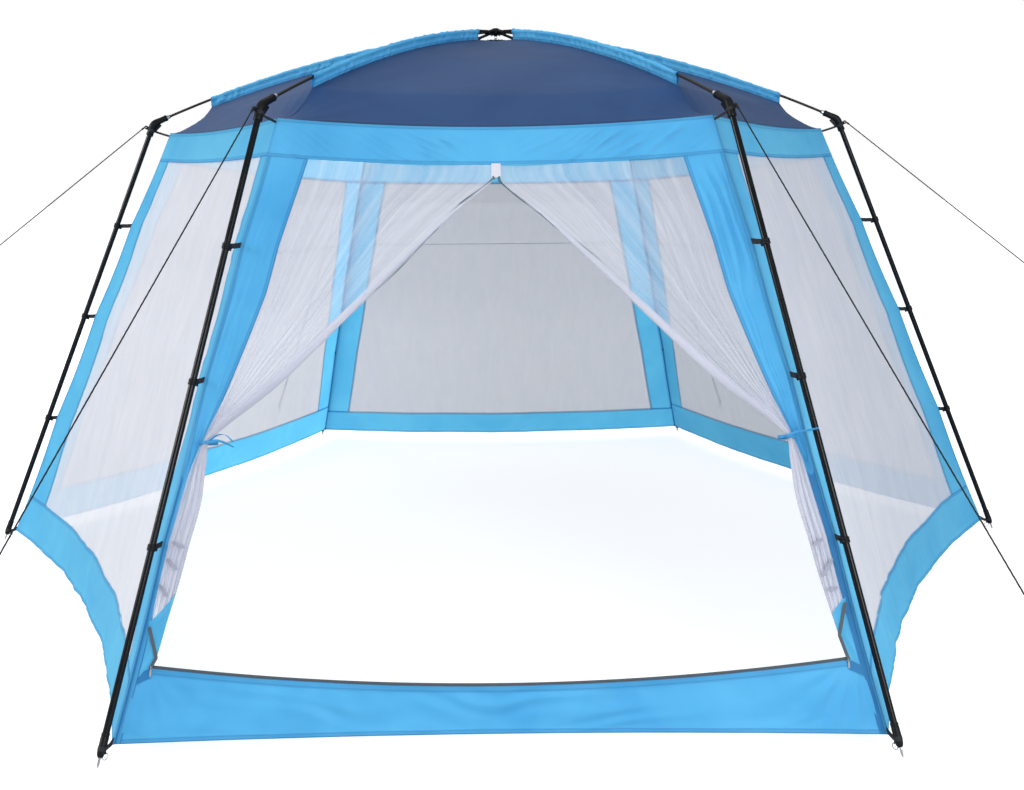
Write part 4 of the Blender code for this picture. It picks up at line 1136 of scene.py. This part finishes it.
def make_walls():
    """Five walls of netting. The rear ones hang calmer, as they do in the photo."""
    for index, (name, angle) in enumerate(WALLS.items()):
        seed = 100 + index * 10
        calm = 0.35 if name in REAR_WALLS else 1.0
        make_head_band(name, angle, seed, calm)
        make_skirt(name, angle, seed, calm)
        for side in HANDS:
            make_side_band(name, angle, seed, calm, side)
        make_netting(name, angle, seed, calm)
        if name in REAR_WALLS:
            make_netting_seam(name, angle, seed, calm)


def tape_mesh(name, shape, sharp):
    """A narrow tape of the border cloth, all of which is within its hem, so all of it is painted with the
    hem's darker shade.
    """
    points = shape[0]
    return new_mesh(name, shape, BLUE, sharp, True, points[:, 1:], np.full(len(points), 0.005))


def make_corner_piping():
    """Narrow binding over each corner seam, from the eave to the hem."""
    heights = np.linspace(EAVE_HEIGHT - 0.006, HEM_HEIGHT, 90)
    path = [(float(seam_radius(z)) + 0.0004, 0, float(z)) for z in heights]
    mesh = tape_mesh("corner_piping", webbing(path, SIDEWAYS, 0.0085, 0.0030), 60.0)
    for corner, angle in CORNERS.items():
        place(f"corner_piping_{corner}", mesh, angle)


# Front wall

def front_surface(across, z):
    """Points of the front wall at a height already reached, with its small sag."""
    u = np.clip(across / half_wall(z), -1, 1)
    fall = np.clip((EAVE_HEIGHT - z) / (EAVE_HEIGHT - HEM_HEIGHT), 0, None)
    x = seam_radius(z) * COS_30 - FRONT_SAG * fall**1.2 * (1 - u * u)
    return np.stack([x, across + 0 * z, z + 0 * across], axis=-1)


def front_spot(y, z, lift):
    """One point of the front wall, lifted off it."""
    return front_surface(np.array(y), np.array(z)) + OUTWARD * lift


def head_surface(u, z):
    """Points of the doorway head, which sags between the corners."""
    drop = np.interp(z, [HEAD_SAG_END, HEAD_HEIGHT], [0.0, FRONT_EAVE_SAG]) * (1 - u * u)
    points = front_surface(u * half_wall(z), z)
    return points + np.stack([drop * 0.38, 0 * drop, -drop], axis=-1)


def door_band(z):
    """Width of a door band at a height."""
    heights, widths = zip(*reversed(DOOR_BAND))
    return np.interp(z, heights, widths)


def band_edge(z):
    """Distance from the doorway's middle line to the inner edge of a door band."""
    return float(half_wall(z)) - float(door_band(z))


def folds(distance, along, pitch, depth, seed, sharp=False):
    """Uneven parallel folds. distance is measured across them."""
    wander = 0.35 * pitch * waves(along * 3.0, distance * 6.0, seed)
    turn = 2 * math.pi * (distance + wander) / pitch
    rise = ridge(turn / 2) if sharp else np.sin(turn)
    strength = ease(waves(along * 2.0, distance * 9.0, seed + 1), -0.7, 0.9)
    return depth * rise * strength


def make_valance():
    """Head band of the doorway, creased toward the middle from both corners."""
    z, u = spread(lapped(HEAD_HEIGHT, EAVE_HEIGHT, 24)[::-1], np.linspace(-1, 1, 241))
    grid = head_surface(u, z)
    across = grid[..., 1]
    side = np.sign(across)
    out = np.abs(across)
    slanted = (EAVE_HEIGHT - z) * 0.86 + (out - 0.8) * 0.50
    free = ease(EAVE_HEIGHT - z, 0.0, 0.05) * (1 - u**8)
    rise = 0.0
    for pitch, depth, stretch, apart, seed in VALANCE_CREASES:
        creases = folds(slanted, out * stretch + side * apart, pitch, depth, seed, True)
        rise = rise + creases * ease(out, 0.03, 0.25)
    rise = rise + 0.002 * waves(across * 5, z * 6, 305) * ease(-z, -EAVE_HEIGHT, -HEAD_HEIGHT)
    rise = np.maximum(rise + 0.001, -0.001)
    grid = grid + (rise * free)[..., None] * OUTWARD + OUTWARD * 0.0030
    edge = np.minimum(z - HEAD_HEIGHT, EAVE_HEIGHT - z) + 0.003
    made = cloth("valance", grid, BLUE, FRONT, edge=edge, stands_for=["front_border"])


def make_door_bands():
    """Bands down both sides of the doorway, folded lengthwise and drawn in at the curtains' ties."""
    heights = np.concatenate([np.linspace(HEAD_HEIGHT + LAP, 0.62, 110), np.linspace(0.61, HEM_HEIGHT, 46)])
    for side, hand in HANDS.items():
        depth = DOOR_FOLDS[side]
        z, part = spread(heights, np.linspace(0, 1, 33)[::hand])
        width = door_band(z)
        away = part * width
        across = hand * (half_wall(z) - away)
        u = across / half_wall(z)
        grid = np.where((z > HEAD_SAG_END)[..., None], head_surface(u, z), front_surface(across, z))
        free = np.sin(np.pi * np.clip(part, 0, 1)) ** 0.7
        down = EAVE_HEIGHT - z
        tight = (ease(z, 0.90, 1.25) * 0.8 + 0.2) * ease(down, 0.13, 0.22)
        rise = folds(part * 0.13 + down * 0.012, down, 0.034, 0.0042 * depth, 320 + hand)
        rise = rise + folds(part * 0.13 - down * 0.03, down * 1.5, 0.019, 0.0014 * depth, 330 + hand)
        gathered = 0.006 * np.exp(-((z - TIE_HEIGHT) / 0.10) ** 2) * np.sin(part * 9.0)
        grid = grid + (rise * free * tight + gathered * free)[..., None] * OUTWARD + OUTWARD * SIDE_BAND_LIFT
        edge = np.minimum(away, width - away)
        # Below the ties the band is given a small edge, so the finish paints it dark like a seam: painted
        # shade of the doubled band, which lies in shade there. On the left this is only the strip by the
        # corner
        doubled_and_shaded = 1 - ease(away, 0.010, 0.013) if hand < 0 else 1.0
        edge = edge - (edge - 0.002) * ease(-z, -0.90, -0.80) * doubled_and_shaded
        made = cloth(f"door_band_{side}", grid, BLUE, FRONT, edge=edge)


def sill_top(across):
    """Height of the sill's zipped edge, lowest in the middle, falling again beyond its sliders."""
    inside = SILL_HEIGHT - SILL_DROP * (1 - np.clip(np.abs(across) / SLIDER_PLACE, 0, 1) ** 2)
    beyond = np.clip(np.abs(across) - SLIDER_PLACE, 0, None)
    return inside - beyond * 0.45


def make_sill():
    """Zipped sill between the two door bands, with a double strip under its zip that is painted dark as its
    shade.
    """
    depth = np.concatenate([[0, 0.03, 0.06, 0.10, 0.13, 0.155], np.linspace(0.17, 0.88, 22),
                            [0.90, 0.925, 0.94, 0.97, 1.0]])
    part, u = spread(depth, np.linspace(-1, 1, 301))
    wide = np.interp(part, [0, 1], [float(half_wall(height)) - 0.017 for height in (0.25, HEM_HEIGHT)])
    across = u * wide
    top = sill_top(u * wide[0, 0])
    z = top + (HEM_HEIGHT - top) * part
    grid = front_surface(across, z)
    out = float(half_wall(0.15)) - np.abs(across)
    below = np.clip(SILL_HEIGHT - z, 0, 1)
    from_slider = np.hypot(np.abs(across) - SLIDER_PLACE, below)
    turn = np.arctan2(below + 0.01, SLIDER_PLACE + 0.02 - np.abs(across))
    fan = np.sin(turn * 17) * np.exp(-from_slider / 0.30)
    side = np.where(across > 0, 1.25, 0.7)
    rise = 0.0036 * fan * ease(from_slider, 0.02, 0.12) * side
    slanted = below * 0.95 - out * 0.14
    rise = rise + folds(slanted, across * 0.8, 0.055, 0.0034, 341) * ease(out, 0.05, 0.35)
    rise = rise + 0.0045 * waves(across * 2.2, z * 5, 345)
    rise = rise + 0.0016 * waves(across * 9, z * 9, 346)
    grid = grid + (rise * np.sin(np.pi * part) ** 0.6)[..., None] * OUTWARD
    height = np.abs(top - HEM_HEIGHT)
    edge = np.minimum(part * height * 0.62, (1 - part) * height)
    # Beyond the sliders the strip under the zip is given a small edge, so the finish paints it dark: painted
    # shade of the doubled cloth
    beyond = ease(np.abs(across), SLIDER_PLACE - 0.004, SLIDER_PLACE + 0.004)
    doubled_and_shaded_strip = beyond * (1 - ease(part * height, 0.033, 0.036))
    edge = edge - (edge - 0.002) * doubled_and_shaded_strip
    made = cloth("sill", grid, BLUE, FRONT, edge=edge)

    across = np.linspace(-SLIDER_PLACE, SLIDER_PLACE, 200)
    path = front_surface(across, sill_top(across) + 0.0012) + OUTWARD * 0.0010
    tape = webbing(path, UP_WALL, 0.0095, 0.0016)
    teeth = tube(path + OUTWARD * 0.0014, 0.0019, 8, (0, 0, 1))
    piece("sill_zip", together(tape, teeth), ZIP, FRONT)


def make_gussets():
    """Cloth between door band, sill and curtain foot, with the curtain's zip along its slanted edge."""
    for side, hand in HANDS.items():
        high, (end_y, end_z) = GUSSET_TOP[side], TAIL_END[side]
        top_y = band_edge(high) + 0.002
        rows = []
        for share in np.linspace(0, 1, 41):
            z_band = high + (0.235 - high) * share
            inner = band_edge(z_band) + 0.004
            free_y = np.interp(share, [0, 0.6, 0.95, 1], [top_y, end_y, SLIDER_PLACE, SLIDER_PLACE + 0.004])
            z_free = np.interp(share, [0, 0.6, 0.95, 1], [high, end_z, SILL_HEIGHT, SILL_HEIGHT - 0.003])
            row = []
            for part in np.linspace(0, 1, 14):
                y = inner + (free_y - inner) * part
                z = z_band + (z_free - z_band) * part
                lift = 0.0026 * math.sin(math.pi * part) * math.sin(share * 9 + part * 4 + hand)
                row.append(front_spot(hand * y, z, lift + 0.0004))
            rows.append(row if hand < 0 else row[::-1])
        grid = np.array(rows)
        edge = 0.016 + 0 * grid[..., 0]
        edge[:, 2:12] = 0.05
        made = cloth(f"gusset_{side}", grid, BLUE, FRONT, gauge=0.0, edge=edge)
        free = grid[:, -1 if hand < 0 else 0]
        tape = webbing(free + OUTWARD * 0.0085, (0, -hand * 0.8, -0.5), 0.0105, 0.0016)
        piece(f"curtain_zip_foot_{side}", tape, ZIP, FRONT)
        seat = Vector(front_spot(hand * SLIDER_PLACE, SILL_HEIGHT, 0.004))
        body = rounded_box(seat, [OUT, SIDEWAYS, UP_WALL], [0.005, 0.009, 0.014], 0.0015)
        bridge = hoop(seat + OUT * 0.0035, SIDEWAYS, 0.003, 0.0009, 16, 8)
        pull_way = Vector((0.1, 0.12 * hand, -1)).normalized()
        pull = webbing([seat + OUT * 0.0055 + pull_way * far for far in (0.001, 0.008, 0.020, 0.030)],
                       SIDEWAYS, 0.0065, 0.0016, [0.6, 0.8, 1.0, 0.9])
        piece(f"zip_slider_{side}", together(body, bridge, pull), STEEL, FRONT)


# Door curtains. Each row: height at the band, place and height of the free edge, size of the roll
# along the free edge, depth of the pleats and how far the whole stands out at the free edge.
CURTAIN_ROWS = [
    (1.8540, 0.002, 1.8190, 0.002, 0.0010, 0.000),
    (1.7900, 0.012, 1.7660, 0.004, 0.0022, 0.001),
    (1.7000, 0.152, 1.6520, 0.008, 0.0032, 0.003),
    (1.5600, 0.285, 1.5270, 0.013, 0.0040, 0.005),
    (1.3450, 0.485, 1.3320, 0.020, 0.0050, 0.007),
    (1.1300, 0.715, 1.1180, 0.027, 0.0068, 0.009),
    (1.0000, 0.884, 0.9880, 0.021, 0.0105, 0.012),
    (0.9300, 0.946, 0.9300, 0.008, 0.0120, 0.014),
    (0.8600, 0.955, 0.8600, 0.008, 0.0120, 0.010),
    (0.7450, 0.969, 0.7450, 0.010, 0.0130, 0.005),
    (0.6300, 1.000, 0.6300, 0.010, 0.0130, 0.002),
    (0.5300, 1.028, 0.5200, 0.009, 0.0120, 0.000),
    (0.4700, 1.050, 0.4450, 0.007, 0.0095, 0.000),
    (0.4350, 1.070, 0.3800, 0.005, 0.0060, 0.000),
    (0.4100, 1.083, 0.3370, 0.002, 0.0030, 0.000),
]
ROLL_TURNS = 6.0
BODY_COLUMNS = 170
ROLL_COLUMNS = 108
PLEATS = 11


def curtain_rows(hand):
    """Grid of a curtain, and the line down the middle of its rolled edge with that roll's size."""
    table = through(CURTAIN_ROWS, np.linspace(0, 1, 210))
    rows, middle, sizes = [], [], []
    s = np.linspace(0, 1, BODY_COLUMNS)
    spin = np.linspace(0, 2 * math.pi * ROLL_TURNS, ROLL_COLUMNS + 1)[1:]
    for z_band, free_y, free_z, roll, depth, stand in table:
        tail = float(ease(-z_band, -0.95, -0.80))
        band_y = band_edge(z_band) + 0.004 + (0.009 * tail if hand < 0 else 0)
        start, end = np.array([band_y, z_band]), np.array([free_y, free_z])
        wide = np.linalg.norm(end - start)
        way = (end - start) / wide
        roll = min(roll, wide * 0.33)
        centre = end - way * roll
        spots = start + (centre - start) * s[:, None]
        y, z = spots[:, 0], spots[:, 1].copy()
        if z_band > 1.80:  # The top hangs from the valance, and sags with it
            u = y / float(half_wall(HEAD_HEIGHT))
            head = HEAD_HEIGHT - 0.002 - FRONT_EAVE_SAG * (1 - u**2)
            blend = float(ease(z_band, 1.80, HEAD_HEIGHT - 0.004))
            z = z * (1 - blend) + head * blend
        drawn = float(ease(-z_band, -1.75, -1.00))
        wander = 0.55 * waves(s * 2.2, z_band * 1.6, 400 + hand) * (1 - drawn * 0.7)
        pleat = np.sin(2 * math.pi * (PLEATS * s**0.9 + wander) + z_band * 2.0)
        crease = np.sin(2 * math.pi * (PLEATS * 2.3 * s + wander * 2) + 1.0) * 0.15
        window = np.clip(np.minimum(s, 1 - s) * 9, 0, 1) ** 0.8
        strength = 0.55 + 0.45 * ease(waves(s * 3.0, z_band * 1.2, 410 + hand), -0.8, 0.8)
        broad = np.sin(2 * math.pi * (3.1 * s + 0.5 * wander) + z_band * 6.0)
        rise = depth * ((pleat + crease) * (1 - 0.50 * tail) + 0.55 * broad * tail) * window * strength
        rise = rise + 0.0040 * waves(s * 1.6, z_band * 2.0, 420 + hand) * window * (1 - drawn)
        rise = rise + (stand + roll * 0.55) * s**2.0
        shift = depth * 0.35 * np.sin(4 * math.pi * PLEATS * s) * window * drawn
        y = y + way[0] * shift
        z = z + way[1] * shift
        body = front_surface(y * hand, z) + rise[:, None] * OUTWARD
        size = roll * (1 - 0.58 * spin / spin[-1]) * (1 + 0.08 * np.sin(3 * spin + z_band * 14))
        far, up = size * np.sin(spin), size * np.cos(spin) * 0.55
        hub = front_spot(centre[0] * hand, centre[1], stand)
        curl = hub + np.outer(far * way[0] * hand, [0, 1, 0]) + np.outer(far * way[1], [0, 0, 1])
        curl = curl + np.outer(up, OUTWARD)
        rows.append(np.concatenate([body, curl]))
        middle.append(hub)
        sizes.append(roll)
    return np.array(rows), np.array(middle), np.array(sizes)


def make_curtains():
    for side, hand in HANDS.items():
        grid, middle, sizes = curtain_rows(hand)
        panel = cloth(f"curtain_{side}", grid, SHEER, FRONT, gauge=0.0,
                      stands_for=[f"door_curtain_{side}"], drawn_from=1.07)
        make_curtain_zip(side, hand, middle, sizes)
        make_tie(side, hand)
        make_curtain_foot(side, hand)
        make_zip_folds(side, hand)


def make_curtain_zip(side, hand, middle, sizes):
    """Zip tape along the free edge, which turns with the roll and so shows only here and there."""
    first, last = 14, 56
    top = front_spot(0.006 * hand, 1.778, 0.004)
    halfway = (top + middle[first] + OUTWARD * 0.004) / 2
    path, across = [top, halfway + OUTWARD * 0.001], [Vector((0, 0.5 * hand, 0.8))] * 2
    for index in range(first, last, 2):
        turn = 0.6 + (index - first) * 0.120
        way = middle[index + 2] - middle[index]
        way = Vector(way / np.linalg.norm(way))
        push = OUT * math.cos(turn) * 0.55 + way.cross(OUT) * math.sin(turn)
        path.append(Vector(middle[index]) + push * (sizes[index] + 0.0012))
        across.append(way.cross(push))
    narrow = []
    for step in range(len(path)):
        fade = min(1, 0.1 + 0.18 * (len(path) - 1 - step))
        narrow.append((0.85 + 0.45 * math.sin(1.1 * step)) * fade)
    tape = webbing(path, across, 0.0115, 0.0014, narrow)
    piece(f"curtain_zip_{side}", tape, TEAL_ZIP, FRONT)


def make_tie(side, hand):
    """Light blue tape tied round the gathered curtain, with two loose ends."""
    centre = Vector(front_spot(hand * (band_edge(TIE_HEIGHT) - 0.018), TIE_HEIGHT, 0.010))
    path = []
    for step in range(33):
        turn = 2 * math.pi * step / 32
        path.append(centre + SIDEWAYS * (0.030 * math.cos(turn)) + OUT * (0.022 * math.sin(turn)))
    parts = [webbing(path, UP_WALL, 0.011, 0.0014)]
    knot = centre + OUT * 0.024 - SIDEWAYS * (0.006 * hand)
    parts.append(rounded_box(knot, [OUT, SIDEWAYS, UP_WALL], [0.009, 0.014, 0.012], 0.004))
    inward = -SIDEWAYS * hand
    if hand < 0:
        ends = [[(0.004, 0), (0.030, 0.003), (0.060, -0.006), (0.088, -0.020)],
                [(0.004, 0.004), (0.034, 0.022), (0.062, 0.018), (0.086, -0.004)]]
    else:
        ends = [[(0.002, 0), (-0.028, 0.012), (-0.062, 0.016), (-0.098, 0.022)],
                [(0.004, 0), (0.012, -0.016), (0.030, -0.022), (0.046, -0.014)]]
    for index, end in enumerate(ends):
        keys = [tuple(knot + inward * a + UP_WALL * b + OUT * (0.004 + 0.25 * abs(a))) for a, b in end]
        turns = [step / 12 + index for step in range(14)]
        leans = [UP_WALL * math.cos(turn) + OUT * math.sin(turn) for turn in turns]
        parts.append(webbing(through(keys, np.linspace(0, 1, 14)), leans, 0.009, 0.0012))
    place(f"curtain_tie_{side}", tape_mesh("curtain_tie", together(*parts), 50.0), FRONT)


def make_curtain_foot(side, hand):
    """Blue hem of the curtain, between the slanted end of its netting and the zip it is drawn along."""
    high, (end_y, end_z) = GUSSET_TOP[side], TAIL_END[side]
    band_y = band_edge(high) + 0.004
    upper = 0.480 if hand < 0 else 0.395
    free_y = float(np.interp(upper, [0.337, 0.380, 0.445, 0.520], [1.083, 1.070, 1.050, 1.028])) - 0.001
    rows = []
    for share in np.linspace(0, 1, 24):
        row = []
        for part in np.linspace(0, 1, 16):
            top = (band_y + (free_y - band_y) * part, high + 0.016 + (upper - high - 0.016) * part**1.3)
            low = (band_y + (end_y - band_y) * part, high + (end_z - high) * part)
            y, z = top[0] + (low[0] - top[0]) * share, top[1] + (low[1] - top[1]) * share
            wave = math.sin(7 * part + 4 * share) * math.sin(math.pi * share)
            row.append(front_spot(hand * y, z, 0.0105 - 0.0070 * share + 0.0022 * wave))
        rows.append(row if hand < 0 else row[::-1])
    made = cloth(f"curtain_foot_{side}", np.array(rows), BLUE, FRONT, gauge=0.0, edge=0.016)


# Where the curtain's zip shows through the folds of its tail: place and height of both ends
ZIP_FOLDS = {"left": [((1.050, 0.634), (1.012, 0.616)), ((1.066, 0.584), (1.032, 0.550)),
                      ((1.088, 0.508), (1.058, 0.470))],
             "right": [((1.044, 0.622), (1.012, 0.600)), ((1.072, 0.562), (1.038, 0.508)),
                       ((1.084, 0.476), (1.054, 0.466))]}


def make_zip_folds(side, hand):
    """Short lengths of the zip's tape, where a fold of the tail turns it to the front."""
    tapes = []
    for (start_y, start_z), (end_y, end_z) in ZIP_FOLDS[side]:
        spots = []
        for part in np.linspace(0, 1, 9):
            y, z = start_y + (end_y - start_y) * part, start_z + (end_z - start_z) * part
            spots.append(front_spot(hand * y, z, 0.0205 + 0.0020 * math.sin(math.pi * part)))
        narrow = [0.5, 0.85, 1.0, 1.0, 0.95, 1.0, 0.9, 0.8, 0.4]
        tapes.append(webbing(spots, (-0.3, 0.3 * hand, 0.9), 0.0120, 0.0012, narrow))
    piece(f"zip_folds_{side}", together(*tapes), FAINT_ZIP, FRONT)


def make_head_tab():
    """White tab in the middle of the valance, where both curtains' zips begin."""
    middle = Vector(front_spot(0.0, 1.790, 0.0046))
    path = [middle + UP_WALL * far for far in (0.036, 0.018, 0.0, -0.015)]
    piece("head_tab", webbing(path, SIDEWAYS, 0.033, 0.0018), TAPE, FRONT)


# Camera, floor and light

# The photo's viewpoint, fitted from the feet, elbows and hub
PHOTO_WIDTH = 1024
FOCAL_PIXELS = 1081.39
CAMERA_PLACE = (0.01123, -5.21907, 1.79630)
CAMERA_YAW = -0.00983
CAMERA_PITCH = -0.20347
CAMERA_ROLL = 0.00800
FLOOR_REACH = 60.0


def make_camera():
    lens = bpy.data.cameras.new("camera")
    lens.sensor_width = 36.0
    lens.lens = FOCAL_PIXELS / PHOTO_WIDTH * lens.sensor_width
    camera = bpy.data.objects.new("camera", lens)
    turn = Matrix.Rotation(CAMERA_YAW, 3, "Z") @ Matrix.Rotation(CAMERA_PITCH, 3, "X")
    turn = turn @ Matrix.Rotation(CAMERA_ROLL, 3, "Y")
    right, forward, up = turn.col[0], turn.col[1], turn.col[2]
    place_of = Matrix([right, up, -forward]).transposed().to_4x4()
    place_of.translation = Vector(CAMERA_PLACE)
    camera.matrix_world = place_of
    bpy.context.scene.collection.objects.link(camera)
    bpy.context.scene.camera = camera


def make_floor():
    mesh = bpy.data.meshes.new("floor")
    corners = [(x * FLOOR_REACH, y * FLOOR_REACH, 0) for x, y in ((-1, -1), (1, -1), (1, 1), (-1, 1))]
    mesh.from_pydata(corners, [], [(0, 1, 2, 3)])
    made, tree, shader = new_finish("pale_floor", 0.9, 0.1)
    shader.inputs["Base Color"].default_value = (0.42, 0.43, 0.44, 1)
    glow = node(tree, "ShaderNodeEmission", inputs={"Strength": 0.75})
    bright = node(tree, "ShaderNodeAddShader", [(0, shader.outputs[0]), (1, glow.outputs[0])])
    path = node(tree, "ShaderNodeLightPath")
    seen = node(tree, "ShaderNodeMixShader", [(0, path.outputs["Is Camera Ray"]), (1, shader.outputs[0]),
                                              (2, bright.outputs[0])])
    surface(tree, seen.outputs[0])
    mesh.materials.append(made)
    floor = bpy.data.objects.new("floor", mesh)
    floor.location.z = -0.0005
    bpy.context.scene.collection.objects.link(floor)


# Name, place, width, power and colour
LAMPS = [("key", (-9.0, -3.6, 4.2), 3.5, 540.0, (1.0, 0.97, 0.91)),
         ("sky", (-1.0, 1.0, 8.0), 7.0, 120.0, (1.0, 1.0, 1.0)),
         ("front", (4.0, -9.0, 3.6), 4.5, 460.0, (0.93, 0.97, 1.0)),
         ("rear", (-6.5, 7.0, 4.2), 5.0, 440.0, (1.0, 1.0, 1.0))]


def make_light():
    world = bpy.data.worlds.new("studio")
    bpy.context.scene.world = world
    world.use_nodes = True
    tree = world.node_tree
    tree.nodes.clear()
    seen = node(tree, "ShaderNodeBackground", inputs={"Color": (1, 1, 1, 1), "Strength": 1.0})
    lit = node(tree, "ShaderNodeBackground", inputs={"Color": (0.95, 0.97, 1.0, 1), "Strength": 1.20})
    gleam = node(tree, "ShaderNodeBackground", inputs={"Color": (0.85, 0.93, 1.0, 1), "Strength": 0.35})
    path = node(tree, "ShaderNodeLightPath")
    blend = node(tree, "ShaderNodeMixShader", [(0, path.outputs["Is Glossy Ray"]), (1, lit.outputs[0]),
                                               (2, gleam.outputs[0])])
    blend = node(tree, "ShaderNodeMixShader", [(0, path.outputs["Is Camera Ray"]), (1, blend.outputs[0]),
                                               (2, seen.outputs[0])])
    node(tree, "ShaderNodeOutputWorld", [("Surface", blend.outputs[0])])
    for name, spot, size, power, colour in LAMPS:
        lamp = bpy.data.lights.new(name, "AREA")
        lamp.shape = "DISK"
        lamp.size = size
        lamp.energy = power
        lamp.color = colour
        made = bpy.data.objects.new(name, lamp)
        made.location = spot
        made.visible_glossy = name != "rear"
        made.rotation_euler = (Vector((0, 0, 1.0)) - Vector(spot)).to_track_quat("-Z", "Y").to_euler()
        bpy.context.scene.collection.objects.link(made)
    bpy.context.scene.view_settings.view_transform = "Standard"
    bpy.context.scene.cycles.transparent_max_bounces = 32


make_camera()
make_floor()
make_light()
make_legs()
make_clips()
make_feet()
make_elbows()
make_roof_poles()
make_hub()
make_guy_lines()
make_gores()
make_apex_patch()
make_sleeves()
make_walls()
make_corner_piping()
make_valance()
make_door_bands()
make_sill()
make_gussets()
make_curtains()
make_head_tab()
